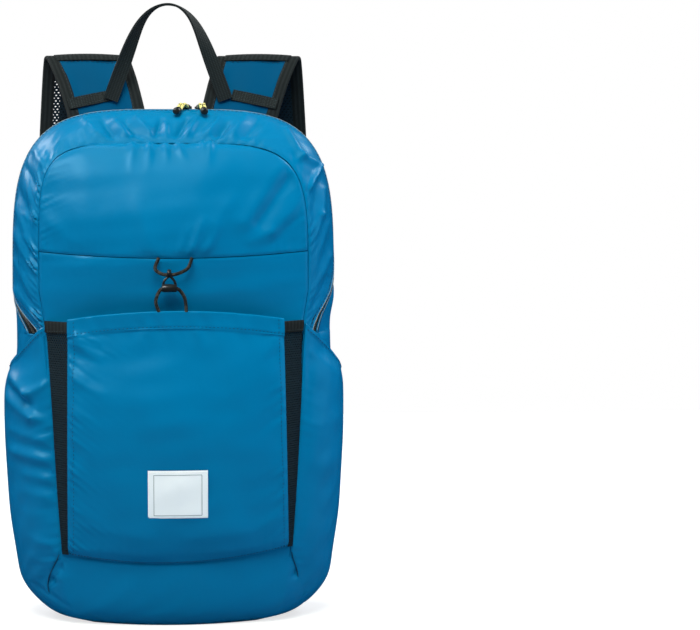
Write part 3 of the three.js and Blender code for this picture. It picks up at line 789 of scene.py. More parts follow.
@dataclass(frozen=True)
class CoatedNylon(Finish):
    """Plain-woven nylon with a thin polyurethane coat, which gives a soft satin gloss over fine threads."""

    thread: float = 1.1  # the real threads lie 0.2 mm apart; drawn this coarse so that they just show
    crumple: float = 14.0
    specular: float = 0.2
    shine: str = "#a8ecff"  # the coat is dyed too, so that its shine is pale blue

    def make(self) -> None:
        """Builds the weave, the fine crumple of thin coated cloth and a slightly uneven dye."""
        tree, shader = self.begin({
            "IOR": 1.45, "Specular IOR Level": self.specular, "Specular Tint": linear(self.shine),
        })
        places = node(tree, "ShaderNodeUVMap", uv_map=CLOTH_PLACES)
        threads = [
            node(tree, "ShaderNodeTexWave", {"Scale": bands(self.thread), "Distortion": 0.5},
                 {"Vector": places.outputs[0]}, bands_direction=way)
            for way in ("X", "Y")
        ]
        weave = node(tree, "ShaderNodeMath", links={0: threads[0].outputs[1], 1: threads[1].outputs[1]},
                     operation="ADD")
        body = node(tree, "ShaderNodeTexCoord")
        crumple = node(tree, "ShaderNodeTexNoise",
                       {"Scale": grains(self.crumple), "Detail": 3.0, "Roughness": 0.45, "Distortion": 0.4},
                       {"Vector": body.outputs["Object"]})
        dye = node(tree, "ShaderNodeTexNoise", {"Scale": grains(70), "Detail": 2.0},
                   {"Vector": body.outputs["Object"]})
        fine = node(tree, "ShaderNodeBump", {"Strength": 0.16, "Distance": 0.06 * MM},
                    {"Height": weave.outputs[0]})
        soft = node(tree, "ShaderNodeBump", {"Strength": 0.25, "Distance": 0.9 * MM},
                    {"Height": crumple.outputs["Fac"], "Normal": fine.outputs[0]})
        self.tint(tree, shader, dye.outputs["Fac"], (self.roughness - 0.05, self.roughness + 0.05))
        tree.links.new(soft.outputs[0], shader.inputs["Normal"])


@dataclass(frozen=True)
class WovenTape(Finish):
    """Narrow woven nylon: thick ribs of yarn across the tape, matt with a faint sheen on their crowns."""

    rib: float = 1.5
    cross: float = 2.4

    def make(self) -> None:
        """Builds ribs and crossing yarns in relief, darker in the hollows as painted shade."""
        tree, shader = self.begin({
            "IOR": 1.5, "Specular IOR Level": 0.2, "Sheen Weight": 0.03, "Sheen Roughness": 0.5,
        })
        places = node(tree, "ShaderNodeUVMap", uv_map=CLOTH_PLACES)
        ribs, yarns = (
            node(tree, "ShaderNodeTexWave", {"Scale": bands(spacing), "Distortion": 0.8},
                 {"Vector": places.outputs[0]}, bands_direction=way)
            for spacing, way in ((self.rib, "X"), (self.cross, "Y"))
        )
        weave = node(tree, "ShaderNodeMath", links={0: ribs.outputs[1], 1: yarns.outputs[1]},
                     operation="MULTIPLY")
        self.emboss(tree, shader, weave.outputs[0], strength=0.6, depth=0.25)
        # the colour runs between its two colours with the weave's relief, which paints shade and highlight
        # into the weave
        self.tint(tree, shader, weave.outputs[0], (self.roughness + 0.1, self.roughness - 0.08))


@dataclass(frozen=True)
class KnittedYarn(Finish):
    """Warp-knitted polyester: matt twisted yarn, a little lighter where it bulges, as painted highlight."""

    yarn: float = 0.8

    def make(self) -> None:
        """Builds the yarn's twist as fine relief."""
        tree, shader = self.begin({"IOR": 1.5, "Specular IOR Level": 0.15, "Sheen Weight": 0.03})
        places = node(tree, "ShaderNodeUVMap", uv_map=CLOTH_PLACES)
        twist = node(tree, "ShaderNodeTexWave",
                     {"Scale": bands(self.yarn), "Distortion": 3.0, "Detail": 2.0},
                     {"Vector": places.outputs[0]}, bands_direction="DIAGONAL")
        self.emboss(tree, shader, twist.outputs[1], strength=0.5, depth=0.12)
        # the colour follows the twist's relief: painted highlight where the yarn bulges
        self.tint(tree, shader, twist.outputs[1], (self.roughness + 0.05, self.roughness - 0.05))


@dataclass(frozen=True)
class MouldedPlastic(Finish):
    """Injection-moulded acetal or nylon filament: dark, satin to glossy, with a faint spark-eroded grain."""

    grain: float = 0.6
    specular: float = 0.5

    def make(self) -> None:
        """Builds the mould's grain and slightly uneven gloss."""
        tree, shader = self.begin({"IOR": 1.48, "Specular IOR Level": self.specular})
        body = node(tree, "ShaderNodeTexCoord")
        grain = node(tree, "ShaderNodeTexNoise", {"Scale": grains(self.grain), "Detail": 2.0},
                     {"Vector": body.outputs["Object"]})
        self.emboss(tree, shader, grain.outputs["Fac"], strength=0.15, depth=0.05)
        self.tint(tree, shader, grain.outputs["Fac"], (self.roughness - 0.05, self.roughness + 0.08))


@dataclass(frozen=True)
class BraidedCord(Finish):
    """Braided cord: slanting strands, with flecks of a second colour carried round the braid."""

    strand: float = 1.2
    fleck: float = 0.55  # share of the fleck pattern above which the second colour shows

    def make(self) -> None:
        """Builds the strands in relief, and the flecks as short runs of the second colour."""
        tree, shader = self.begin({
            "IOR": 1.5, "Specular IOR Level": 0.25, "Sheen Weight": 0.03, "Roughness": self.roughness,
        })
        places = node(tree, "ShaderNodeUVMap", uv_map=CLOTH_PLACES)
        strands = node(tree, "ShaderNodeTexWave", {"Scale": bands(self.strand), "Distortion": 1.0},
                       {"Vector": places.outputs[0]}, bands_direction="DIAGONAL")
        cells = node(tree, "ShaderNodeTexVoronoi", {"Scale": grains(2.0)}, {"Vector": places.outputs[0]})
        pick = node(tree, "ShaderNodeSeparateColor", links={0: cells.outputs["Color"]})
        flecks = node(tree, "ShaderNodeMapRange", {"From Min": self.fleck, "From Max": self.fleck + 0.1},
                      {"Value": pick.outputs[0]})
        colours = {6: linear(self.colour), 7: linear(self.shade)}
        mix = node(tree, "ShaderNodeMix", colours, {0: flecks.outputs[0]}, data_type="RGBA")
        tree.links.new(mix.outputs[2], shader.inputs["Base Color"])
        self.emboss(tree, shader, strands.outputs[1], strength=0.6, depth=0.2)


SHELL_NYLON = CoatedNylon("coated_nylon_blue", "#006c9f", "#006698", 0.34)
# Strap cloth. The seam allowances wear it too, and there its darker blue is painted shade in the seams'
# grooves.
STRAP_NYLON_AND_SEAM_SHADE = CoatedNylon("coated_nylon_strap_blue_and_seam_shade", "#00466f", "#004269", 0.55, specular=0.05)
SHELL_THREAD = WovenTape("polyester_thread_blue", "#023a5c", "#02324f", 0.6, rib=0.5, cross=0.5)
# Pale piping along the zip's flap edges: the coated edge, with the shine that it catches painted in as a
# pale colour.
FLAP_EDGE_SHINE = WovenTape("coated_piping_painted_shine", "#83929d", "#74838e", 0.35, rib=0.8, cross=0.8)
DARK_THREAD = WovenTape("polyester_thread_dark", "#2a3438", "#1b2326", 0.6, rib=0.5, cross=0.5)
WHITE_THREAD = WovenTape("polyester_thread_white", "#e4eaee", "#c9d2d8", 0.6, rib=0.5, cross=0.5)
WEBBING = WovenTape("nylon_webbing_black", "#12181a", "#242c2f", 0.72)
BINDING = WovenTape("grosgrain_binding_black", "#101517", "#20272a", 0.75, rib=1.1, cross=4.0)
STRAP_MESH = KnittedYarn("spacer_mesh_dark_blue", "#0d1b24", "#172a36", 0.8)
# A lining behind the strap's mesh. Its near-black colour is partly painted shade in the mesh's holes.
MESH_LINING_PIT_SHADE = KnittedYarn("knitted_lining_black_pit_shade", "#04080b", "#070d11", 0.9)
POCKET_NET = KnittedYarn("knitted_net_black", "#0a151c", "#142a36", 0.8, yarn=0.6)
ZIP_TAPE = CoatedNylon("coated_zip_tape_black", "#15191b", "#20262a", 0.3, thread=0.9, crumple=6.0)
ZIP_COIL = MouldedPlastic("nylon_coil_filament", "#3b3a37", "#4b4945", 0.32)
BLACK_PLASTIC = MouldedPlastic("moulded_acetal_black", "#141719", "#1d2124", 0.35)
LABEL_CLOTH = WovenTape("woven_label_white", "#e6edf6", "#f0f6fc", 0.55, rib=0.9, cross=0.9)
LABEL_LINE = WovenTape("woven_label_line_grey", "#8d98a2", "#98a4ae", 0.6, rib=0.6, cross=0.6)
YELLOW_CORD = BraidedCord("braided_cord_yellow", "#cdc47b", "#3a3a26", 0.65, fleck=0.82)
ELASTIC_CORD = BraidedCord("covered_elastic_dark", "#151514", "#33312e", 0.6, strand=1.0, fleck=0.66)


# The bag's form


class BagForm:
    """The stuffed bag's outer faces, which the sewn pieces follow."""

    cloth = 1.0
    gap = 0.4
    seat = 0.8
    base_top = 57.0
    yoke_seam = (319.8, 324.8)
    arch_foot = 290.0
    arch_power = 3.9
    front_powers = (4.6, 5.8)  # squareness of the front seam's arch, right and left
    arch_tops = {"front": 417.5, "widest": 446.5, "back": 436.0}
    panel_end_angle = 75.0
    gusset_bow = 2.2
    sections = SmoothTable("z front widest back yFront yWidest yBack bulgeFront bulgeBack", [
        (0, 70, 90, 75, -44, 0, 46, 18, 2),
        (4, 83, 106, 89, -48, 0, 53, 19, 3),
        (13, 91, 119, 100, -52, 0, 57, 20, 4),
        (30, 96, 129, 107, -54.5, 1, 59, 20.5, 5),
        (56, 98.5, 133.5, 111, -56, 2, 60, 21, 6),
        (120, 103, 136.5, 116, -58, 2, 61, 21, 7),
        (200, 107.5, 138.5, 119, -56, 3, 61, 20, 8),
        (262, 112, 138.5, 120, -52, 4, 61, 19, 8),
        (290, 116.5, 141, 121, -51, 4, 61, 24, 8),
    ])
    arch = SmoothTable("angle yFront yWidest yBack bulgeFront bulgeBack", [
        (0, -51, 4, 61, 24, 8),
        (25, -52, 5, 61, 27, 8),
        (40, -49, 7, 60, 20, 7),
        (50, -46, 9, 59, 13, 5),
        (75, -40.5, 12, 55, 0.2, 1),
        (90, -40, 12, 54, 0, 0),
    ])
    pocket_centre = 1.5
    pocket_half = 93.0
    pocket_edge_share = 0.78
    pocket_mouth = (275.5, 267.5)
    pocket_foot = (56.0, 65.0)
    pocket_foot_tilt = 2.6
    pocket_hem = 16.0
    pocket_wall = 1.5
    pocket_stand = SmoothTable("z off", [
        (54, 0.2), (60, 3.2), (70, 7.2), (100, 13), (150, 18.6), (200, 19.8), (245, 16.8), (280, 14),
    ])
    zip_half = 0.115
    zip_gaps = (0.045, 0.1)  # half of the gap between its flaps, right and left
    zip_end = 252.0
    zip_turn = (250.0, 0.8)  # height where its ends reach furthest forward, and how far that is
    zip_turn_tops = (332.0, 297.0)  # heights where they start to come forward, right and left
    zip_back = (262.0, 330.0, 0.11)  # heights between which it moves behind the widest line, and how far

    def rail(self, share: Any, side: Any = 0.0) -> dict[str, Array]:
        """One cross line of the bag.

        Args:
            share: 0 at the base's top seam, 0.5 at the arch's foot, 1 at the top of the arch.
            side: 1 at the right seam, -1 at the left one.

        Returns:
            Half widths, depths, bulges and heights.
        """
        share = np.asarray(share, float)
        low = share <= 0.5
        z = lerp(self.base_top, self.arch_foot, np.minimum(share / 0.5, 1.0))
        straight = self.sections.read(z)
        angle = 180.0 * np.maximum(share - 0.5, 0.0)
        row = {name: np.where(low, straight[name], column) for name, column in self.arch.read(angle).items()
               if name != "angle"}
        cos, sin = np.cos(np.radians(angle)), np.sin(np.radians(angle))
        cos = np.maximum(cos, 0.0)
        right, left = self.front_powers
        foot = self.sections.read(self.arch_foot)
        for name, top in self.arch_tops.items():
            power = lerp(left, right, 0.5 + 0.5 * np.asarray(side)) if name == "front" else self.arch_power
            reach = (cos**power + sin**power) ** (-1 / power)
            row[name] = np.where(low, straight[name], foot[name] * cos * reach)
            height = self.arch_foot + (top - self.arch_foot) * sin * reach
            row["z" + name.capitalize()] = np.where(low, z, height)
        return row

    def level(self, z: Any) -> dict[str, Array]:
        """The cross line at one height below the arch."""
        z = np.asarray(z, float)
        return {**self.sections.read(z), "zFront": z, "zWidest": z, "zBack": z}

    def wall(self, row: dict[str, Array], side: Any, round_: Any) -> Array:
        """Points of a side wall.

        Args:
            row: The cross lines.
            side: 1 for the right wall, -1 for the left.
            round_: -1 at the front seam, 0 at the widest line, 1 at the back seam.

        Returns:
            The points.
        """
        bow = 1 - np.abs(round_) ** self.gusset_bow
        seam = [np.where(round_ < 0, row[a], row[b]) for a, b in (
            ("front", "back"), ("zFront", "zBack"), ("yFront", "yBack"))]
        return points_at(
            side * lerp(seam[0], row["widest"], bow),
            lerp(row["yWidest"], seam[2], np.abs(round_)),
            lerp(seam[1], row["zWidest"], bow),
        )

    def gusset(self, run: Any, round_: Any) -> Array:
        """Points of the side wall.

        Args:
            run: 0 at the right base corner, 0.5 at the top, 1 at the left base corner.
            round_: -1 at the front seam, 0 at the widest line, 1 at the back seam.

        Returns:
            The points.
        """
        run = np.asarray(run, float)
        side = np.where(run < 0.5, 1.0, -1.0)
        return self.wall(self.rail(1 - np.abs(2 * run - 1), side), side, np.asarray(round_))

    def share_at(self, z: Any) -> Array:
        """The share of a rail whose front seam is at a height."""
        shares = np.linspace(0.0, 1.0, 4001)
        return np.interp(z, self.rail(shares)["zFront"], shares)

    def yoke_line(self, across: Any) -> Array:
        """Height of the seam across the front panel, which sags in its middle."""
        return lerp(self.yoke_seam[0], self.yoke_seam[1], across**2)

    def foot_line(self, across: Any) -> Array:
        """Height of the seam between the base and the front panel, which the pocket's foot follows."""
        return lerp(self.pocket_foot[0], self.pocket_foot[1], across**2) + self.pocket_foot_tilt * across

    @property
    def panel_end(self) -> float:
        """The share where the front and back panels end, at the straight top of the arch."""
        return 0.5 + 0.5 * self.panel_end_angle / 90.0

    def front_depth(self, x: Array, z: Array) -> Array:
        """Depth of the front panel's face below the arch."""
        row = self.sections.read(z)
        return row["yFront"] - row["bulgeFront"] * (1 - (x / row["front"]) ** 2)

    def pocket_depth(self, x: Array, z: Array) -> Array:
        """Depth of the front pocket's face."""
        full = lerp(1.0, self.pocket_edge_share, ((x - self.pocket_centre) / self.pocket_half) ** 2)
        return self.front_depth(x, z) - self.pocket_stand.read(z)["off"] * full - self.pocket_wall

    def zip_round(self, run: Any) -> Array:
        """Where the zip's middle lies.

        Args:
            run: Places along the side wall's run.

        Returns:
            Places round the side wall, as gusset takes them.
        """
        z = self.gusset(run, 0.0)[..., 2]
        (low, turn), (start, end, back) = self.zip_turn, self.zip_back
        turned = np.where(np.asarray(run) < 0.5, *(smooth(z, low, high) for high in self.zip_turn_tops))
        return back * smooth(z, start, end) - turn * (1 - turned)

    def zip_gap(self, run: Any) -> Array:
        """Half of the gap between the zip's flaps, along the run."""
        return lerp(*self.zip_gaps, smooth(np.asarray(run), 0.3, 0.7))

    @property
    def zip_start(self) -> float:
        """The run at which the zip's right-hand end lies."""
        return 0.25 * (self.zip_end - self.base_top) / (self.arch_foot - self.base_top)

    def zip_run(self, share: Any) -> Array:
        """The run at a share of the zip's length."""
        return lerp(self.zip_start, 1 - self.zip_start, share)


FORM = BagForm()


@dataclass
class Shell:
    """The bag's sewn walls: front panel, side walls, back panel and base."""

    yoke_steps: Steps = (96, 130)
    lower_steps: Steps = (110, 80)
    gusset_front_steps: Steps = (420, 34)
    gusset_back_steps: Steps = (260, 30)
    back_steps: Steps = (110, 64)
    base_steps: tuple[int, int, int, int] = (14, 42, 120, 72)
    slack: float = 0.7
    yoke_depth: float = 1.5
    top_depth: float = 2.7
    piping: float = 0.32
    seam_gap: float = 8e-4  # as a share of a rail
    gusset_depth: float = 1.3
    seam_space: Pair = (0.9, 0.6)  # between the side walls and the front and back seams
    wall_depth: float = 55.0  # from the widest line to either seam, about
    allowance: float = 1.5
    allowance_in: Pair = (2.6, 2.0)  # towards the bag's middle, and in from its face
    middle_height: float = 190.0  # of the bag's middle above the base's seam
    yoke_creases: Table = (
        (25, 353, 14, 323, 3.6, 0.6, 2.6), (38, 346, 26, 323, 3.4, 0.4, 2.0),
        (12, 346, 4, 323, 3.0, 0.3, 1.4), (56, 378, 36, 350, 8.0, 0.5, 0.9),
        (-20, 326, -30, 366, 9.0, 1.2, 0.5), (103, 391, 74, 350, 6.5, -1.9, -2.0),
        (94, 398, 62, 352, 9.0, 1.0, 1.6), (113, 371, 84, 342, 6.0, 0.9, 1.0),
        (84, 342, 66, 334, 6.0, 0.9, 0.5), (114, 360, 82, 329, 5.0, -0.7, -0.4),
        (-35, 417, -36, 394, 3.6, 1.5, 0.2), (-20.5, 417, -21.5, 396, 3.2, 2.0, 0.3),
        (-6.5, 417, -6, 401, 3.0, 2.0, 0.3), (3.5, 417, 11, 402, 3.2, 2.2, 0.3),
        (25, 417, 26, 404, 3.0, 1.8, 0.3), (32, 417, 30, 400, 3.2, 2.2, 0.3),
        (-88, 402, -74, 376, 9.0, 0.3, 0.1), (-110, 352, -88, 336, 7.0, 0.9, 0.3),
    )
    gusset_creases: Table = (
        (-138, 364, -121, 327, 3.6, 1.4, 1.7), (-129, 356, -121, 349, 2.4, 0.5, 1.0),
        (-128, 337, -118, 323, 2.6, 0.6, 1.2), (-138, 340, -117, 300, 4.0, 1.7, 1.7),
        (-139, 315, -117, 281, 4.2, 1.6, 1.6), (-138, 289, -113, 265, 4.0, 1.4, 1.6),
        (-129, 397, -119, 381, 3.2, -1.2, -1.6), (-110, 414, -104, 405, 2.8, -0.8, -1.6),
        (-120, 411, -113, 400, 3.0, 1.2, 1.4), (-136, 378, -122, 352, 3.4, -1.2, -1.4),
        (99, 429, 111, 406, 3.0, 2.4, 2.8), (111, 406, 128, 399, 2.8, 2.8, 1.8),
        (129, 397, 118, 379, 2.4, 2.0, 2.2), (132, 378, 129, 356, 2.6, 1.2, 1.6),
        (129, 356, 118, 325, 2.8, 1.6, 1.4), (126, 384, 121, 352, 3.4, -1.3, -1.2),
        (134, 347, 120, 306, 3.2, 0.9, 1.0), (137, 318, 119, 284, 3.6, 1.1, 1.0),
        (134, 300, 117, 272, 3.4, -0.9, -0.9),
    )
    top_creases: Table = (
        (-58, 417, -77, 438, 4.2, 1.5, 0.8), (-47, 418, -63, 440, 3.6, -1.7, -0.9),
        (-36, 418, -51, 438, 3.6, 1.8, 0.9), (-23, 418, -41, 434, 3.2, -1.9, -0.9),
        (-13, 418, -32, 439, 3.4, 1.9, 0.8), (-18, 418, -11, 437, 2.8, -1.6, -0.8),
        (-6, 418, -6, 433, 3.0, 1.6, 0.8), (0, 418, 11, 437, 3.0, -1.9, -0.9),
        (8, 418, 21, 439, 3.4, 1.9, 0.9), (24, 418, 40, 439, 3.6, 1.8, 0.9),
        (33, 418, 47, 432, 3.4, -1.9, -0.9), (46, 418, 63, 440, 4.4, 1.5, 0.9),
        (58, 417, 75, 438, 4.0, -1.4, -0.8),
    )
    base_creases: Table = (
        (-95, 60, -100, 50, 1.9, -0.6, -1.6), (-100, 50, -108, 39, 1.9, -1.6, -1.9),
        (-108, 39, -112, 27, 2.1, -1.9, -0.8), (-86, 44, -103, 40, 2.8, 0.1, 0.9),
        (-112, 36, -104, 37, 2.2, -1.2, -1.0), (-122, 31, -94, 15.5, 2.6, -1.3, -0.8),
        (-118, 26, -97, 12, 3.2, 1.0, 0.7), (105, 47, 105, 40, 1.9, -0.8, -1.8),
        (100, 38, 106, 43, 1.7, -0.3, -1.4),
    )

    def build(self) -> None:
        """Builds and dresses the walls."""
        self.front(True, "yoke_cloth", "front_yoke")
        self.front(False, "lower_front_cloth", "front_lower")
        self.gussets()
        self.back()
        self.base()
        self.allowances()

    def allowances(self) -> None:
        """Builds the turned-in cloth behind the long seams, which closes their grooves; it wears the darker
        strap cloth, which paints shade in the grooves.
        """
        run = np.linspace(0.001, 0.999, 400)
        towards_middle, from_face = self.allowance_in
        routes = []
        for round_ in (-0.985, 0.985):
            seam = FORM.gusset(run, round_)
            middle = np.array([0.0, 0.0, FORM.base_top + self.middle_height])
            inward = unit((middle - seam) * [1.0, 0.0, 1.0])
            routes.append(seam + inward * towards_middle - [0.0, math.copysign(from_face, round_), 0.0])
        across = np.linspace(-0.98, 0.98, 80)
        row = FORM.rail(FORM.share_at(FORM.yoke_line(across)))
        depth = row["yFront"] - row["bulgeFront"] * (1 - across**2) + towards_middle + 1.0
        routes.append(points_at(across * row["front"], depth, row["zFront"]))
        strips = Shape()
        for route in routes:
            tube(route, self.allowance, sides=8, shape=strips)
        # darker than the shell: painted shade in the seams' grooves
        strips.piece("seam_allowances", STRAP_NYLON_AND_SEAM_SHADE, Slot.SHELL)

    def front(self, yoke: bool, name: str, solid: str) -> None:
        """Builds one part of the front panel.

        Args:
            yoke: Whether it is the part above the seam across.
            name: The piece's name.
            solid: The solid that it stands for.
        """
        rows, columns = self.yoke_steps if yoke else self.lower_steps
        across = (1 - 2 * spread(columns))[None, :]
        foot = FORM.foot_line(across) - FORM.base_top
        seam = FORM.share_at(FORM.yoke_line(across))
        first = seam + self.seam_gap if yoke else 0.5 * foot / (FORM.arch_foot - FORM.base_top)
        last = FORM.panel_end if yoke else seam - self.seam_gap
        row = FORM.rail(lerp(first, last, spread(rows)[:, None]), across)
        depth = row["yFront"] - row["bulgeFront"] * (1 - across**2)
        plain = Sheet(points_at(across * row["front"], depth, row["zFront"]))
        x, z = plain.points[..., 0], plain.points[..., 2]
        relief = self.slack * ripple(x, z, 75.0, 4) + 0.22 * ripple(x, z, 26.0, 14)
        if yoke:
            relief = relief + self.yoke_depth * creases(self.yoke_creases, x, z)
            seams = [
                Seam(Edge.FOOT, 0.6, 1.2, pucker=0.7, spacing=7.0, reach=9.0, seed=11),
                Seam(Edge.HEAD, 0.9, 1.5, pucker=1.6, spacing=8.0, reach=12.0, seed=21),
                Seam(Edge.FIRST, 1.0, 1.5, pucker=0.8, spacing=7.0, reach=8.0, slant=0.5, seed=31),
                Seam(Edge.LAST, 1.0, 1.5, pucker=1.0, spacing=6.0, reach=9.0, slant=-0.5, seed=41),
            ]
        else:
            seams = [
                Seam(Edge.HEAD, 0.4, 1.0, pucker=1.0, spacing=6.5, reach=9.0, slant=0.5, seed=51),
                Seam(Edge.FIRST, 1.0, 1.5, pucker=0.4, seed=61),
                Seam(Edge.LAST, 1.0, 1.5, pucker=0.4, seed=71),
            ]
        made = sewn(plain, seams, relief).walled(FORM.cloth).piece(name, SHELL_NYLON, Slot.SHELL, solid)
        declare(plain, Held.STRETCHED)

    def gussets(self) -> None:
        """Builds the side walls in front of the zip and behind it, and dresses the edges beside the zip."""
        band = self.front_gusset()
        wall, beside_zip = self.back_gusset()
        thread, piping = Shape(), Shape()
        for sheet, edge, kept in ((band, Edge.FIRST, slice(None)), (wall, Edge.LAST, beside_zip)):
            line, out = sheet.line(edge, 3.2, 0.2)
            stitches(line[kept], out[kept], thread)
            # pale piping along each flap's edge: partly the coated edge, partly painted shine
            tube(sheet.line(edge, 0.3, 0.0)[0][kept], self.piping, sides=6, shape=piping)
        thread.piece("zip_topstitching", SHELL_THREAD, Slot.SHELL)
        piping.piece("zip_flap_piping_painted_shine", FLAP_EDGE_SHINE, Slot.ZIP)

    def front_gusset(self) -> Sheet:
        """Builds the side wall in front of the zip, one band over the top.

        Returns:
            The sewn wall.
        """
        rows, columns = self.gusset_front_steps
        run = FORM.zip_run(np.linspace(0, 1, rows + 1))[:, None]
        edge = -1 + self.seam_space[0] / self.wall_depth
        round_ = lerp(FORM.zip_round(run) - FORM.zip_gap(run), edge, spread(columns)[None, :])
        plain = Sheet(FORM.gusset(run, round_))
        x, z = plain.points[..., 0], plain.points[..., 2]
        calm_outline = smooth(-round_, 0.04, 0.4)
        relief = self.gusset_depth * calm_outline * creases(self.gusset_creases, x, z)
        relief = relief + self.top_depth * creases(self.top_creases, x, z)
        relief = relief + 0.4 * ripple(plain.lengths(0), plain.lengths(1), 60.0, 5)
        relief = relief + 0.3 * calm_outline * ripple(plain.lengths(0), plain.lengths(1), 22.0, 15)
        seams = [
            Seam(Edge.LAST, 1.0, 1.5, pucker=2.2, spacing=4.6, reach=11.0, slant=0.9, seed=81,
                 strength=((0, 0), (0.58, 0), (0.64, 0.7), (0.72, 1.6), (1, 1.6))),
            Seam(Edge.LAST, 0.0, pucker=1.4, spacing=6.5, reach=12.0, slant=-0.7, seed=83,
                 strength=((0, 1), (0.34, 1), (0.42, 0), (1, 0))),
            Seam(Edge.LAST, 0.0, pucker=1.6, spacing=9.0, reach=10.0, slant=0.15, seed=85,
                 strength=((0, 0), (0.3, 0), (0.37, 1), (0.64, 1), (0.7, 0), (1, 0))),
            Seam(Edge.FIRST, -0.9, 1.6, pucker=0.4, spacing=7.0, reach=8.0, seed=91),
        ]
        band = sewn(plain, seams, relief)
        made = band.walled(FORM.cloth).piece("gusset_front_cloth", SHELL_NYLON, Slot.SHELL, "gusset_front")
        declare(plain, Held.GATHERED)
        return band

    def back_gusset(self) -> tuple[Sheet, Array]:
        """Builds the side wall behind the zip, which also reaches forward below the zip's ends.

        Returns:
            The sewn wall, and which of its rows lie beside the zip.
        """
        rows, columns = self.gusset_back_steps
        below = 30
        start = FORM.zip_start
        front_gap, back_gap = (space / self.wall_depth for space in self.seam_space)
        run = np.concatenate([
            np.linspace(0.0005, start - 1e-4, below), FORM.zip_run(np.linspace(0, 1, rows - 2 * below)),
            np.linspace(1 - start + 1e-4, 0.9995, below),
        ])[:, None]
        beside_zip = np.minimum(run, 1 - run) > start - 1e-6
        front = np.where(beside_zip, FORM.zip_round(run) + FORM.zip_gap(run), -1 + front_gap)
        plain = Sheet(FORM.gusset(run, lerp(1 - back_gap, front, spread(columns)[None, :])))
        relief = 0.9 * ripple(plain.lengths(0), plain.lengths(1), 55.0, 6)
        seams = [
            Seam(Edge.FIRST, pucker=0.9, spacing=6.0, reach=10.0, slant=0.4, seed=101),
            Seam(Edge.LAST, -0.7, 1.6, pucker=0.4, spacing=7.0, reach=8.0, seed=111),
        ]
        wall = sewn(plain, seams, relief)
        made = wall.walled(FORM.cloth).piece("gusset_back_cloth", SHELL_NYLON, Slot.SHELL, "gusset_back")
        declare(plain, Held.GATHERED)
        return wall, ((run > start) & (run < 1 - start))[:, 0]

    def back(self) -> None:
        """Builds the plain back panel."""
        rows, columns = self.back_steps
        row = FORM.rail(lerp(0.0006, FORM.panel_end, spread(rows))[:, None])
        across = (2 * spread(columns) - 1)[None, :]
        depth = row["yBack"] + row["bulgeBack"] * (1 - across**2)
        plain = Sheet(points_at(across * row["back"], depth, row["zBack"]))
        relief = 0.9 * ripple(plain.points[..., 0], plain.points[..., 2], 80.0, 7)
        seams = [
            Seam(edge, pucker=0.8, spacing=8.0, reach=12.0, seed=121 + 5 * k)
            for k, edge in enumerate(Edge)
        ]
        made = sewn(plain, seams, relief).walled(FORM.cloth).piece(
            "back_panel_cloth", SHELL_NYLON, Slot.SHELL, "back_panel")
        declare(plain, Held.STRETCHED)

    def base(self) -> None:
        """Builds the base tray: its flat foot, then its rounded wall up to the panels' seam."""
        foot_rows, wall_rows, panel_columns, side_columns = self.base_steps
        up = np.concatenate([np.zeros(foot_rows), spread(wall_rows, 0.35) ** 1.4])[:, None]
        shrink = np.concatenate([np.linspace(0.03, 0.97, foot_rows), np.ones(wall_rows + 1)])[:, None]

        def panel(across: Array, front: bool) -> Array:
            """Points of the tray's front or back wall.

            Args:
                across: -1 at the left seam, 1 at the right one.
                front: Whether it is the front wall.

            Returns:
                The points.
            """
            key, sign = ("Front", -1.0) if front else ("Back", 1.0)
            z = up * (FORM.foot_line(across) if front else FORM.base_top)
            row = FORM.level(z)
            half = row["front" if front else "back"]
            depth = row["y" + key] + sign * row["bulge" + key] * (1 - across**2)
            return points_at(across * half, depth, z)

        def wall(side: float, round_: Array) -> Array:
            """Points of the tray's side wall, whose top rises to the front seam."""
            top = lerp(FORM.base_top, FORM.foot_line(1.0), smooth(-round_, 0.5, 1.0))
            return FORM.wall(FORM.level(up * top), side, round_)

        half_back = np.linspace(0, 1, panel_columns // 2, endpoint=False)[None, :]
        side = np.linspace(1, -1, side_columns, endpoint=False)[None, :]
        front = np.linspace(1, -1, panel_columns, endpoint=False)[None, :]
        ring = np.concatenate([
            panel(half_back, False), wall(1.0, side), panel(front, True),
            wall(-1.0, -side), panel(np.linspace(-1, 0, panel_columns // 2 + 1)[None, :], False),
        ], axis=1)
        ring[..., :2] = ring[..., :2] * shrink[..., None]
        plain = Sheet(ring)
        x, z = ring[..., 0], ring[..., 2]
        off_floor = smooth(z, 4.0, 16.0)
        relief = off_floor * (creases(self.base_creases, x, z)
                              + 0.3 * ripple(plain.lengths(1), plain.lengths(0), 60.0, 8)
                              + 0.12 * ripple(plain.lengths(1), plain.lengths(0), 24.0, 18))
        seams = [Seam(Edge.HEAD, 0.5, 1.1, pucker=0.4, spacing=7.0, reach=9.0, seed=141)]
        made = sewn(plain, seams, relief).walled(FORM.cloth).piece(
            "base_cloth", SHELL_NYLON, Slot.SHELL, "base")
        declare(plain, Held.GATHERED)


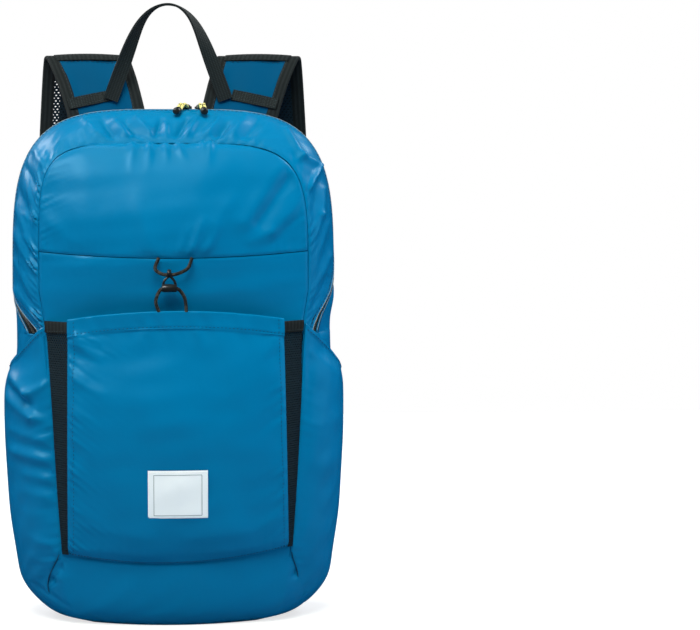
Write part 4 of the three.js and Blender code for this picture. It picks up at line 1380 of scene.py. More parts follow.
@dataclass
class MainZip:
    """The long zip: coated tape, coil, two sliders and their cord pulls."""

    steps: int = 420
    proud: float = -0.5
    tape: float = 1.3
    tooth_pitch: float = 1.7
    slider: Triple = (11.0, 8.0, 4.0)  # length, width and thickness
    slider_profile: Table = (
        (-0.5, 0.5, 0.6), (-0.375, 0.72, 0.85), (-0.25, 0.9, 1.0), (-0.125, 1.0, 1.0), (0.0, 1.0, 1.0),
        (0.125, 0.98, 1.0), (0.25, 0.96, 1.0), (0.375, 0.94, 0.95), (0.5, 0.8, 0.75),
    )  # place along the slider, its width and its height there, as shares
    # Name, place across the top, and how far aside its pull lies.
    sliders: tuple[tuple[str, float, float], ...] = (("left", 11.0, -6.0), ("right", 24.5, 2.0))
    pull_reach: float = 20.0
    pull_drop: float = 3.0
    pull_arch: float = 3.4
    strand: float = 2.7
    strand_apart: float = 1.6
    tip: Pair = (3.2, 10.0)  # radius and length
    tip_profile: Table = (
        (-0.1, 0.55), (-0.04, 0.72), (0.0, 0.8), (0.12, 0.95),
        (0.5, 1.0), (0.85, 1.0), (0.95, 0.88), (1.0, 0.5),
    )  # place along the tube end and its radius there, as shares

    def build(self) -> None:
        """Builds and dresses the zip, whose tape is rolled near its edges and hollow under the coil."""
        run = FORM.zip_run(np.linspace(0, 1, self.steps + 1))[:, None]
        across = np.linspace(1, -1, 25)[None, :]
        plain = Sheet(FORM.gusset(run, FORM.zip_round(run) + FORM.zip_half * across))
        rolled_edge = 0.55 * np.exp(-(((np.abs(across) - 0.82) / 0.14) ** 2))
        dropped = 1.1 * smooth(np.abs(across), 0.9, 1.0)
        channel = 0.5 * np.exp(-((across / 0.3) ** 2))
        relief = self.proud + rolled_edge - dropped - channel
        tape = plain.raised(np.broadcast_to(relief, plain.points.shape[:2]))
        made = tape.walled(self.tape).piece("zip_tape", ZIP_TAPE, Slot.ZIP, "main_zip")
        declare(plain, Held.STRETCHED)
        self.coil(tape)
        for name, x, sway in self.sliders:
            self.slider_and_pull(name, x, sway)

    def coil(self, tape: Sheet) -> None:
        """Builds the coil's teeth.

        Args:
            tape: The tape whose middle they follow.
        """
        middle = tape.points.shape[1] // 2
        line, out = tape.points[:, middle], tape.outward()[:, middle]
        side = unit(tape.points[:, middle + 1] - line)
        stations = distances(line)
        teeth = Shape()
        for k, at in enumerate(np.arange(2.0, stations[-1] - 2.0, self.tooth_pitch)):
            spot, lift, aside = (read_along(at, stations, part) for part in (line, out, side))
            lean = 0.25 if k % 2 else -0.25
            path = [spot + aside * (lean + reach) + lift * height
                    for reach, height in ((-1.9, 0.1), (-0.9, 0.75), (0.9, 0.75), (1.9, 0.1))]
            tube(np.array(path), 0.55, 0.5, sides=6, up=lift, shape=teeth)
        teeth.piece("zip_coil", ZIP_COIL, Slot.ZIP)

    def slider_and_pull(self, name: str, x: float, sway: float) -> None:
        """Builds one slider with its bridge, cord pull and tube end.

        Args:
            name: Which slider.
            x: Its place across the top.
            sway: How far aside its pull lies.
        """
        length, width, thick = self.slider
        runs = np.linspace(0.75, 0.25, 4001)
        run = np.interp(x, FORM.gusset(runs, 0.0)[:, 0], runs)
        place = FORM.gusset(run, FORM.zip_round(run))
        foot = place + [0, 0, 2 * FORM.gap]
        body = Shape()
        along, waist, height = np.array(self.slider_profile).T
        spine = foot + points_at(along * length, 0.0, thick * 0.4)
        tube(spine, waist * width / 2, height * thick * 0.36, sides=20, up=(0, 0, 1), square=4.0, shape=body)
        arch = np.linspace(0, np.pi, 11)
        bridge = foot + points_at(np.cos(arch) * 3.4, 0.0, thick * 0.62 + np.sin(arch) * 1.3)
        tube(bridge, 1.1, 0.55, sides=8, shape=body)
        body.piece(f"zip_slider_body_{name}", BLACK_PLASTIC, Slot.PLASTIC, f"zip_slider_{name}")

        start = foot + [0, -width / 2 - FORM.gap, thick - 1.3]
        finish = start + [sway, -self.pull_reach, -self.pull_drop]
        cords = Shape()
        for offset in (-self.strand_apart, self.strand_apart):
            middle = lerp(start, finish, 0.5) + [0, 0, self.pull_arch]
            back = start + [0, width / 2, 0.2]
            route = np.array([back, start, middle, finish]) + [offset, 0, 0]
            tube(path_through(route, 24), self.strand / 2, sides=8, up=(0, 0, 1), shape=cords)
        cords.piece(f"pull_cord_strands_{name}", YELLOW_CORD, Slot.YELLOW, f"pull_cord_{name}")

        radius, long = self.tip
        way = unit(finish - start)
        reach, girth = np.array(self.tip_profile).T
        end = Shape()
        tube(finish + way * (reach * long)[:, None], girth * radius, sides=18, up=(0, 0, 1), shape=end)
        end.piece(f"pull_tip_tube_{name}", BLACK_PLASTIC, Slot.PLASTIC, f"pull_tip_{name}")


@dataclass
class FrontPocket:
    """The slack front pocket with its hem, net wedges, tapes and label."""

    steps: Steps = (132, 132)
    flares: Pair = (4.5, 1.5)  # how much wider it is at its foot, right and left
    hem_rise: float = 1.3
    foot_sunk: float = 1.4  # how far its foot is sewn in, to lie flush with the base
    net_insets: Table = ((0.6, -2.8), (1.2, 1.2))  # from the seam at its top and lower down, right and left
    net_drop: float = 2.5  # how far below the pocket's corner the net starts
    net_thick: float = 1.1
    net_pitch: float = 2.3
    net_bar: float = 1.0
    tape_height: float = 10.2
    label_x: float = 2.5
    label_z: float = 119.0
    label_size: Pair = (51.0, 41.5)
    label_line: Triple = (5.2, 3.8, 2.6)  # insets at its sides, top and bottom
    crease_depth: float = 1.4
    creases: Table = (
        (-91, 252, -64, 235, 3.2, 2.2, 0.6), (-84, 254, -68, 245, 2.6, 1.5, 0.4),
        (-76, 254, -64, 249, 3.0, 0.9, 0.3), (-91, 224, -78, 215, 3.0, 1.7, 0.4),
        (-91, 217, -62, 205, 4.4, 1.4, 0.4), (-90, 190, -70, 181, 4.2, 1.1, 0.3),
        (-90, 166, -72, 155, 4.6, 1.1, 0.3), (-90, 138, -74, 128, 4.6, 0.9, 0.2),
        (-88, 104, -70, 96, 5.0, 0.8, 0.2), (92, 250, 74, 236, 5.0, 1.0, 0.2),
        (92, 212, 78, 203, 5.0, 0.7, 0.2), (91, 176, 77, 166, 5.0, 0.7, 0.2),
        (88, 96, 66, 84, 6.0, 0.9, 0.2), (-60, 86, -20, 80, 9.0, 0.7, 0.5),
        (10, 79, 56, 84, 9.0, 0.6, 0.6), (20, 256, 26, 236, 5.0, 0.8, 0.1),
        (-26, 256, -30, 238, 5.0, 0.7, 0.1),
    )

    def build(self) -> None:
        """Builds and dresses the pocket."""
        self.panel()
        for name, side in (("right", 1.0), ("left", -1.0)):
            self.net(name, side)
        self.label()

    def panel(self) -> None:
        """Builds the pocket's panel with its hem and its stitches."""
        rows, columns = self.steps
        across = (1 - 2 * spread(columns))[None, :]
        mouth = lerp(FORM.pocket_mouth[0], FORM.pocket_mouth[1], across**2)
        up = spread(rows)[:, None]
        z = lerp(FORM.foot_line(across) + 0.6, mouth, up)
        flare = np.where(across > 0, *self.flares) * across * (1 - up)
        x = FORM.pocket_centre + across * FORM.pocket_half + flare
        sunk = self.foot_sunk * (1 - smooth(z - z[:1], 0.0, 9.0))
        plain = Sheet(points_at(x, FORM.pocket_depth(x, z) + sunk, z))
        relief = self.crease_depth * creases(self.creases, x, z)
        relief = relief + 0.9 * ripple(x, z, 85.0, 9) + 0.25 * ripple(x, z, 28.0, 19)
        below_mouth = plain.from_edge(Edge.HEAD)[1]
        hem = self.hem_rise * (1 - smooth(below_mouth, FORM.pocket_hem - 0.9, FORM.pocket_hem + 0.2))
        rolled = -1.3 * (1 - np.sqrt(1 - (1 - np.clip(below_mouth / 1.3, 0, 1)) ** 2))
        stitched = -0.5 * np.exp(-(((below_mouth - FORM.pocket_hem + 2.0) / 0.9) ** 2))
        gathers = 0.35 * wander(x + 0.3 * z, 13.0, 151) * np.exp(-(((below_mouth - 14.0) / 9.0) ** 2))
        below_hem = ((0.0, 1.0), (0.9, 1.0), (0.93, 0.0), (1.0, 0.0))
        seams = [
            Seam(Edge.FOOT, 0.5, 1.1, pucker=0.5, spacing=7.0, reach=10.0, seed=161),
            Seam(Edge.FIRST, 0.9, pucker=0.8, spacing=8.0, reach=9.0, slant=0.6, seed=171,
                 strength=below_hem),
            Seam(Edge.LAST, 0.9, pucker=1.7, spacing=6.5, reach=12.0, slant=0.7, seed=181,
                 strength=below_hem),
        ]
        panel = sewn(plain, seams, relief).raised(hem + rolled + stitched + gathers)
        wall = FORM.cloth + self.hem_rise * (below_mouth < FORM.pocket_hem)
        made = panel.walled(wall).piece("front_pocket_cloth", SHELL_NYLON, Slot.SHELL, "front_pocket")
        declare(plain, Held.GATHERED)
        thread = Shape()
        for edge, away, gap, thick in (
            (Edge.HEAD, FORM.pocket_hem - 2.0, 1.4, 0.5), (Edge.FOOT, 1.3, 0.8, 0.9),
            (Edge.FIRST, 5.2, 1.4, 0.5), (Edge.LAST, 6.2, 1.4, 0.5),
        ):
            stitches(*panel.line(edge, away, 0.05), thread, long=2.0, gap=gap, thick=thick)
        thread.piece("front_pocket_topstitching", SHELL_THREAD, Slot.SHELL)

    def net_point(self, side: float, up: Array, inward: Array) -> Array:
        """Points of a net wedge.

        Args:
            side: 1 for the right wedge, -1 for the left.
            up: 0 at its foot, 1 at its top.
            inward: 0 at the bag's seam, 1 at the pocket's edge.

        Returns:
            The points.
        """
        z = lerp(FORM.foot_line(side), FORM.pocket_mouth[1] - self.net_drop, up)
        flare = np.where(side > 0, *self.flares) * (1 - up)
        pocket_edge = FORM.pocket_half + side * FORM.pocket_centre + flare
        inner = pocket_edge - 0.5
        top, low = self.net_insets[side < 0]
        inset = lerp(low, top, smooth(z, 190.0, 262.0))
        outer = np.maximum(FORM.sections.read(z)["front"] - inset, inner + 2)
        x = lerp(outer, inner, inward)
        seat = FORM.front_depth(x, z) - 1.2 - FORM.seat
        depth = lerp(seat, FORM.pocket_depth(side * pocket_edge, z) + 1.6, inward)
        depth = depth + 0.8 * np.sin(np.pi * inward)
        return points_at(side * x, depth, z)

    def net(self, name: str, side: float) -> None:
        """Builds one net wedge and the tape across its top.

        Args:
            name: Which wedge.
            side: 1 for the right one, -1 for the left.
        """
        def surface(up: Array, inward: Array) -> Array:
            """Points of this wedge."""
            return self.net_point(side, up, inward)

        share = np.meshgrid(np.linspace(0, 1, 40), np.linspace(0, 1, 6), indexing="ij")
        cut = Sheet(surface(*share))
        length, width = float(cut.lengths(0)[-1].mean()), float(cut.lengths(1)[:, -1].max())
        net = hex_net(surface, (length, width), self.net_pitch, self.net_bar, side * self.net_thick)
        made = net.piece(f"net_{name}", POCKET_NET, Slot.NET, f"net_wedge_{name}")
        declare(cut, Held.STRETCHED)

        foot = 1 - self.tape_height / (FORM.pocket_mouth[1] - FORM.pocket_foot[1])
        up, inward = np.meshgrid(lerp(foot, 1.0, spread(14)), np.linspace(0, 1, 22), indexing="ij")
        plain = Sheet(surface(up, inward) if side > 0 else surface(up, inward)[:, ::-1])
        rounded = 0.5 * (1 - np.abs(2 * (up - foot) / (1 - foot) - 1) ** 4)
        tape = plain.raised(1.0 + rounded)
        made = tape.walled(1.3).piece(f"net_tape_{name}", BINDING, Slot.WEBBING, f"net_binding_{name}")
        declare(plain, Held.FOLDED)
        thread = Shape()
        stitches(*tape.line(Edge.FOOT, 1.8, 0.1), thread, long=1.9, gap=1.0, thick=0.5)
        thread.piece(f"net_tape_stitching_{name}", DARK_THREAD, Slot.WEBBING)

    def label(self) -> None:
        """Builds the blank label with its woven border line and its stitches."""
        width, height = self.label_size
        v, u = np.meshgrid(np.linspace(0.5, -0.5, 40), np.linspace(-0.5, 0.5, 32))
        x, z = self.label_x + width * v, self.label_z + height * u
        plain = Sheet(points_at(x, FORM.pocket_depth(x, z), z))
        border = np.minimum(width * (0.5 - np.abs(v)), height * (0.5 - np.abs(u)))
        sag = 0.3 * ripple(x, z, 40.0, 12) * smooth(border, 0.0, 10.0)
        cloth = plain.raised(1.3 + sag - 0.35 * np.exp(-((border / 1.2) ** 2)))
        made = cloth.walled(0.8).piece("label_cloth", LABEL_CLOTH, Slot.LABEL, "label")
        declare(plain, Held.LAID)
        line, thread = Shape(), Shape()
        aside, above, below = self.label_line
        for edge, away, cut in (
            (Edge.FOOT, below, (aside, aside)), (Edge.HEAD, above, (aside, aside)),
            (Edge.FIRST, aside, (below, above)), (Edge.LAST, aside, (below, above)),
        ):
            path = cloth.line(edge, away, 0.0)[0]
            stations = distances(path)
            drawn = read_along(np.linspace(cut[0], stations[-1] - cut[1], 40), stations, path)
            tube(drawn, 0.3, 0.12, sides=8, up=(0, -1, 0), shape=line)
            stitches(*cloth.line(edge, 1.3, 0.12), thread, long=1.8, gap=0.9, thick=0.4)
        line.piece("label_border_line", LABEL_LINE, Slot.LABEL)
        thread.piece("label_stitching", WHITE_THREAD, Slot.LABEL)


@dataclass
class SidePockets:
    """The two slack side pockets with sloping hemmed mouths."""

    steps: Steps = (128, 84)
    foot: float = 9.0
    # Heights of its mouth at the front, at the widest line and at the back, right and left.
    mouths: Table = ((262.0, 223.0, 210.0), (262.0, 225.0, 212.0))
    mouth_bends: Pair = (1.15, 1.7)  # how late its mouth drops, right and left
    slumps: Pair = (0.0, 6.0)  # how much lower its fullness hangs, right and left
    edge: float = 0.97
    wraps: Pair = (-2.0, 2.6)  # how far its front edge covers the net, right and left
    # How far its front edge leaves the bag's corner, and the heights between which it comes back to it.
    corner_sweeps: Table = ((0.16, 30.0, 60.0), (0.25, 26.0, 60.0))
    # The front seam's dark line, drawn between these heights with the radius below, is painted shade in the
    # seam's groove.
    front_lift: Pair = (-0.5, 0.9)  # of its front edge, near the foot and above
    seams_shown: Table = ((37.0, 64.0), (25.0, 64.0))  # heights between which its front seam shows as a line
    seam_shade_line: float = 0.42
    hem: float = 6.0
    stand: SmoothTable = field(default_factory=lambda: SmoothTable("z off", [
        (8, 0.2), (31, 4.0), (56, 5.5), (100, 8.6), (145, 10), (190, 10.3), (205, 9.9),
        (214, 8.6), (222, 6.4), (229, 3.6), (235, 1.9), (241, 1.4), (275, 1.2),
    ]))
    crease_depth: float = 1.5
    left_creases: Table = (
        (-146, 217, -128, 201, 4.2, 1.0, 1.7), (-128, 201, -107, 212, 4.0, 2.2, 1.4),
        (-146, 206, -126, 192, 3.6, -1.4, -1.6), (-147, 195, -123, 181, 4.6, 1.4, 1.8),
        (-123, 181, -105, 178, 4.2, 1.8, 1.0), (-142, 168, -106, 160, 4.4, 0.8, 1.5),
        (-138, 158, -106, 152, 4.0, -0.4, -1.0), (-143, 150, -106, 144, 4.8, 1.3, 1.7),
        (-136, 141, -106, 136, 4.0, -0.4, -1.3), (-130, 131, -105, 127, 3.4, 0.4, 1.4),
        (-128, 123, -105, 119, 3.8, -0.3, -0.9), (-134, 115, -105, 111, 4.4, 0.4, 0.9),
        (-132, 103, -104, 100, 5.0, -0.3, -0.6), (-124, 74, -101, 68, 4.0, 0.4, 1.3),
        (-126, 57, -100, 50, 4.0, 0.4, 1.0), (-116, 37, -106, 36.5, 2.2, -0.6, -1.2),
        (-124, 32, -112, 25, 2.6, -0.8, -1.2),
    )
    right_creases: Table = (
        (146, 214, 118, 236, 5.0, 0.8, 1.0), (146, 176, 106, 170, 9.0, 0.6, 0.7),
        (147, 140, 106, 134, 10.0, 0.6, 0.5),
    )

    def build(self) -> None:
        """Builds and dresses both pockets."""
        self.pocket("right", 1.0, self.right_creases, 0.5)
        self.pocket("left", -1.0, self.left_creases, 1.0)

    def pocket(self, name: str, side: float, rows: Table, pucker: float) -> None:
        """Builds one pocket.

        Args:
            name: Its name.
            side: 1 for the right one, -1 for the left.
            rows: Its creases, seen from the front.
            pucker: Height of the puckers at its seams.
        """
        up_steps, round_steps = self.steps
        up = spread(up_steps)[:, None]
        share = spread(round_steps)[None, :]
        front, widest, back = self.mouths[side < 0]
        height = lerp(self.foot, widest, up)
        sweep, low, high = self.corner_sweeps[side < 0]
        front_edge = 1.0 - sweep * (1 - smooth(height, low, high))
        round_ = lerp(self.edge, -front_edge, share)
        drop = np.abs(round_) ** self.mouth_bends[side < 0]
        top = np.where(round_ < 0, lerp(widest, front, drop), lerp(widest, back, round_))
        z = lerp(self.foot, top, up)
        row = FORM.level(z)
        around = FORM.wall(row, 1.0, round_ - 0.02) - FORM.wall(row, 1.0, round_ + 0.02)
        out = unit(points_at(-around[..., 1], around[..., 0], 0.0))
        power = lerp(2.0, 4.0, smooth(z, 30.0, 80.0))
        full = 1 - np.where(round_ < 0, np.abs(round_) / front_edge, round_ / self.edge) ** power
        seated = lerp(*self.front_lift, smooth(z, 30.0, FORM.base_top + 8.0))
        stand = self.stand.read(z + self.slumps[side < 0] * smooth(z, 150.0, 210.0))["off"]
        off = lerp(seated, FORM.seat + FORM.cloth, full * smooth(z, 10.0, 40.0)) + stand * full
        wrapped = self.wraps[side < 0] * smooth(-round_, 0.9, 1.0) * smooth(z, 52.0, 80.0)
        points = FORM.wall(row, 1.0, round_) + out * off[..., None]
        points[..., 0] = side * (points[..., 0] - wrapped)
        plain = Sheet(points if side > 0 else points[:, ::-1])
        x, up_z = plain.points[..., 0], plain.points[..., 2]
        calm_outline = smooth(-(round_ if side > 0 else round_[:, ::-1]), 0.1, 0.5)
        relief = self.crease_depth * calm_outline * creases(rows, x, up_z)
        relief = relief + 0.35 * ripple(plain.lengths(0), plain.lengths(1), 70.0, 13)
        relief = relief + 0.3 * calm_outline * ripple(plain.lengths(0), plain.lengths(1), 26.0, 23)
        front_seam, back_seam = (Edge.LAST, Edge.FIRST) if side > 0 else (Edge.FIRST, Edge.LAST)
        seams = [
            Seam(Edge.FOOT, 0.4, pucker=0.3, seed=201),
            Seam(front_seam, 0.5, 1.4, pucker=1.9 * pucker, spacing=6.0, reach=10.0, seed=211,
                 strength=((0.0, 0.2), (0.12, 0.2), (0.2, 1.0), (0.75, 1.0), (0.88, 0.0), (1.0, 0.0))),
            Seam(back_seam, groove=1.0, pucker=0.9, spacing=7.0, reach=10.0, seed=221),
        ]
        below_mouth = plain.from_edge(Edge.HEAD)[1]
        from_seam = plain.from_edge(front_seam)[1]
        hem = (1 - smooth(below_mouth, self.hem - 1.0, self.hem + 0.2)) * smooth(from_seam, 0.0, 9.0)
        stitched = -0.4 * np.exp(-(((below_mouth - self.hem + 1.4) / 0.8) ** 2))
        rolled = -1.0 * (1 - np.sqrt(1 - (1 - np.clip(below_mouth / 1.0, 0, 1)) ** 2))
        wall = sewn(plain, seams, relief).raised(hem + stitched + rolled)
        made = wall.walled(FORM.cloth + 0.6 * (below_mouth < self.hem)).piece(
            f"side_pocket_cloth_{name}", SHELL_NYLON, Slot.SHELL, f"side_pocket_{name}")
        declare(plain, Held.GATHERED)
        thread = Shape()
        stitches(*wall.line(Edge.HEAD, self.hem - 1.4, 0.15), thread)
        # a dark rod along the front seam: painted shade in its groove
        line = wall.line(front_seam, 0.3, 0.2)[0]
        low, high = self.seams_shown[side < 0]
        tube(line[(line[:, 2] > low) & (line[:, 2] < high)], self.seam_shade_line, sides=8, shape=thread)
        thread.piece(f"side_pocket_topstitching_and_seam_shade_{name}", SHELL_THREAD, Slot.SHELL)


@dataclass
class ShoulderStrap:
    """A shoulder strap: blue upper part, mesh, bound edges, webbing bar, buckle and lower end."""

    name: str
    side: float  # 1 for the right strap, -1 for the left
    stations: SmoothTable = field(default_factory=lambda: SmoothTable("station inner outer y z", [
        (0, 22, 91, 66.7, 408), (1, 24, 94.5, 69.6, 438), (2, 31, 104, 80, 469), (3, 37, 112, 90, 488),
        (4, 40, 116.5, 98, 495.5), (5, 43, 118.5, 107, 488), (6, 51, 121, 114, 455), (7, 62, 124, 119, 400),
        (8, 68, 126, 119, 330), (9, 72, 127, 113, 250), (10, 80, 122, 105, 185), (11, 88, 118, 100, 152),
    ]))
    fold: float = 4.0
    last: float = 11.0
    binding: float = 11.5
    binding_half: float = 1.9
    upper_cloth: float = 2.0
    mesh_thick: float = 2.0
    mesh_pitch: float = 3.0
    mesh_bar: float = 1.75
    mesh_unlined: Pair = (0.0, 0.15)  # share of its width by the outer edge, right and left
    webbing: float = 1.6
    # The bar's width, its middle's height, its drop outwards, and its ends as shares of the strap's width.
    bar: tuple[float, float, float, float, float] = (9.4, 461.0, 8.5, 0.06, 0.66)
    lower_width: float = 20.0
    lower_route: Table = ((101, 62.9, 39), (101, 66.9, 77), (102.2, 82.1, 99.3), (103, 99.8, 120.5))
    buckle: Triple = (32.0, 30.0, 4.0)  # width, height and thickness

    def build(self) -> None:
        """Builds and dresses the strap."""
        self.upper()
        self.mesh()
        for outer in (True, False):
            self.edge_tape(outer)
        self.fold_tape()
        self.webbing_bar()
        self.lower_end()
        self.adjuster()

    def surface(self, start: float, end: float, inset: float) -> Surface:
        """The strap's face between two stations.

        Args:
            start: First station.
            end: Last station.
            inset: How far in from the strap's edges it ends.

        Returns:
            A function of the shares along and across.
        """
        def point(along: Array, across: Array) -> Array:
            """Points of the face.

            Args:
                along: Shares along it.
                across: Shares across it.

            Returns:
                The points.
            """
            row = self.stations.read(lerp(start, end, along))
            inward = across if self.side > 0 else 1 - across
            x = lerp(row["outer"] - inset, row["inner"] + inset, inward)
            return points_at(self.side * x, row["y"], row["z"])
        return point

    def grid(self, face: Surface, rows: int, columns: int) -> Sheet:
        """A sheet on a face of the strap."""
        return Sheet(face(*np.meshgrid(np.linspace(0, 1, rows), np.linspace(0, 1, columns), indexing="ij")))

    def upper(self) -> None:
        """Builds the blue part from the strap's root to its fold."""
        plain = self.grid(self.surface(0.0, self.fold, self.binding - 2.0), 70, 40)
        away = np.minimum(plain.from_edge(Edge.FIRST)[1], plain.from_edge(Edge.LAST)[1])
        soft = 0.45 * ripple(plain.lengths(0), plain.lengths(1), 42.0, 14) * smooth(away, 0.0, 9.0)
        cloth = plain.raised(soft + 0.5)
        made = cloth.walled(self.upper_cloth).piece(
            f"strap_cloth_{self.name}", STRAP_NYLON_AND_SEAM_SHADE, Slot.SHELL, f"strap_yoke_{self.name}")
        declare(plain, Held.STRETCHED)
        thread = Shape()
        stitches(*cloth.line(Edge.HEAD, 9.5, 0.2), thread, long=3.0, gap=1.6, thick=0.7)
        thread.piece(f"strap_stitching_{self.name}", SHELL_THREAD, Slot.SHELL)

    def mesh(self) -> None:
        """Builds the mesh from the fold to the strap's lower end, and the dark lining inside it, whose
        near-black colour also paints shade in the mesh's holes.
        """
        face = self.surface(self.fold, self.last, self.binding - 2.0)
        cut = self.grid(face, 120, 6)
        length, width = float(cut.lengths(0)[-1].mean()), float(cut.lengths(1)[:, -1].mean())
        travelled = cut.lengths(0)[:, 2] / cut.lengths(0)[-1, 2]

        def even(along: Array, across: Array) -> Array:
            """The face at even lengths along the strap."""
            return face(np.interp(along, travelled, np.linspace(0, 1, len(travelled))), across)

        net = hex_net(even, (length, width), self.mesh_pitch, self.mesh_bar, self.mesh_thick)
        made = net.piece(f"strap_mesh_net_{self.name}", STRAP_MESH, Slot.NET, f"strap_mesh_{self.name}")
        declare(cut, Held.STRETCHED)
        bare = self.mesh_unlined[self.side < 0]
        lined = (bare, 1.0) if self.side > 0 else (0.0, 1 - bare)
        plain = self.grid(lambda along, across: face(along, lerp(*lined, across)), 120, 16)
        lining = plain.raised(-0.4 * self.mesh_thick).walled(0.3)
        made = lining.piece(f"strap_mesh_lining_{self.name}", MESH_LINING_PIT_SHADE, Slot.NET)
        declare(plain, Held.STRETCHED)

    def edge_tape(self, outer: bool) -> None:
        """Builds the tape that is folded round one edge of the strap.

        Args:
            outer: Whether it is the outer edge.
        """
        stations = np.linspace(0, self.last, 260)
        row = self.stations.read(stations)
        edge = points_at(self.side * row["outer" if outer else "inner"], row["y"], row["z"])
        inward = np.array([-self.side if outer else self.side, 0.0, 0.0])
        face = self.grid(self.surface(0.0, self.last, 0.0), 260, 3)
        out = face.outward()[:, 1]
        turn = np.linspace(np.pi / 2, -np.pi / 2, 9)
        half = self.binding_half
        bend = [(half - half * math.cos(t), half * math.sin(t)) for t in turn]
        flats = [(self.binding, 0.75 * half), (self.binding * 0.6, half), (self.binding * 0.3, half)]
        section = np.array([*flats, *bend, *((a, -h) for a, h in reversed(flats))])
        lift = section[:, 1:] - self.upper_cloth / 2
        sheet = Sheet(edge[:, None] + inward * section[:, :1] + out[:, None] * lift)
        thick = 0.8 if float((sheet.outward()[0, 0] * out[0]).sum()) > 0 else -0.8
        kind = "outer" if outer else "inner"
        edge_name = f"{kind}_{self.name}"
        made = sheet.walled(thick).piece(
            f"strap_edge_tape_{edge_name}", BINDING, Slot.WEBBING, f"strap_binding_{edge_name}")
        declare(sheet, Held.FOLDED)
        thread = Shape()
        lifted = edge + inward * (self.binding - 1.8) + out * (0.8 * half - self.upper_cloth / 2 + 0.25)
        stitches(lifted, out, thread, long=2.4, gap=1.2)
        thread.piece(f"strap_edge_stitching_{edge_name}", DARK_THREAD, Slot.WEBBING)

    def fold_tape(self) -> None:
        """Builds the tape that binds the fold at the top of the strap."""
        plain = self.grid(self.surface(self.fold - 0.75, self.fold + 0.5, self.binding - 3.0), 24, 30)
        across = np.linspace(-1, 1, plain.points.shape[1])
        tape = plain.raised(1.6 + 1.2 * np.broadcast_to(1 - across**2, plain.points.shape[:2]))
        made = tape.walled(1.4).piece(f"strap_fold_tape_{self.name}", BINDING, Slot.WEBBING)
        declare(plain, Held.FOLDED)

    def station_at(self, z: Array) -> Array:
        """The station of the strap's rising part at a height."""
        stations = np.linspace(0, self.fold, 2001)
        return np.interp(z, self.stations.read(stations)["z"], stations)

    def webbing_bar(self) -> None:
        """Builds the bar of webbing across the strap, boxed by stitches at both ends."""
        width, middle, drop, outer_share, inner_share = self.bar
        u, v = np.meshgrid(np.linspace(0, 1, 14), np.linspace(0, 1, 44), indexing="ij")
        z = middle - drop * (1 - v) + (u - 0.5) * width
        row = self.stations.read(self.station_at(z))
        x = lerp(row["outer"], row["inner"], lerp(outer_share, inner_share, v))
        points = points_at(self.side * x, row["y"] - self.webbing - 1.2, z)
        sheet = Sheet(points if self.side > 0 else points[:, ::-1])
        sheet = sheet.raised(0.25 * ripple(sheet.lengths(0), sheet.lengths(1), 20.0, 15))
        made = sheet.walled(self.webbing).piece(
            f"strap_bar_webbing_{self.name}", WEBBING, Slot.WEBBING, f"strap_bar_{self.name}")
        declare(sheet, Held.LAID)
        thread = Shape()
        for edge in (Edge.FOOT, Edge.HEAD):
            stitches(*sheet.line(edge, 2.0, 0.1), thread, long=2.0, gap=1.0)
        for edge, away in ((Edge.FIRST, 2.5), (Edge.FIRST, 12.0), (Edge.LAST, 2.5), (Edge.LAST, 12.0)):
            stitches(*sheet.line(edge, away, 0.1), thread, long=2.0, gap=1.0)
        thread.piece(f"strap_bar_stitching_{self.name}", DARK_THREAD, Slot.WEBBING)

    def lower_end(self) -> None:
        """Builds the webbing from the adjuster buckle to the bag's lower corner."""
        line = path_through([(self.side * x, y, z) for x, y, z in self.lower_route], 60)
        across = np.linspace(-0.5, 0.5, 14)[None, :, None] * np.array([self.lower_width, 0.0, 0.0])
        sheet = Sheet(line[:, None] + across)
        made = sheet.walled(self.webbing).piece(
            f"strap_lower_webbing_{self.name}", WEBBING, Slot.WEBBING, f"strap_webbing_{self.name}")
        declare(sheet, Held.STRETCHED)

    def adjuster(self) -> None:
        """Builds the ladder-lock buckle: two rails and four cross bars."""
        width, height, thick = self.buckle
        end = self.stations.read(self.last)
        x = self.side * float(end["inner"] + end["outer"]) / 2
        y, top = float(end["y"]) + thick / 2 - 3.0, float(end["z"]) - FORM.gap
        lock = Shape()
        half = width / 2 - 2.2
        for lean in (-1.0, 1.0):
            rail = [
                (x + lean * half, y, top - height + 1.5),
                (x + lean * (half - 0.4), y + 0.4, top - height / 2),
                (x + lean * (half - 1.4), y, top - 1.5),
            ]
            tube(path_through(rail, 12), 2.1, 1.9, sides=14, square=3.0, shape=lock)
        for share, reach, back in (
            (0.06, 1.0, 0.0), (0.42, 0.95, 0.9), (0.72, 0.95, -0.3), (0.95, 0.92, 0.0),
        ):
            level = top - height * (1 - share)
            bar = [(x + lean * half * reach, y + back, level) for lean in (-1.0, 0.0, 1.0)]
            tube(path_through(bar, 10), 1.5, 1.8, sides=12, square=2.8, shape=lock)
        lock.piece(
            f"strap_ladder_lock_{self.name}", BLACK_PLASTIC, Slot.PLASTIC, f"strap_buckle_{self.name}")


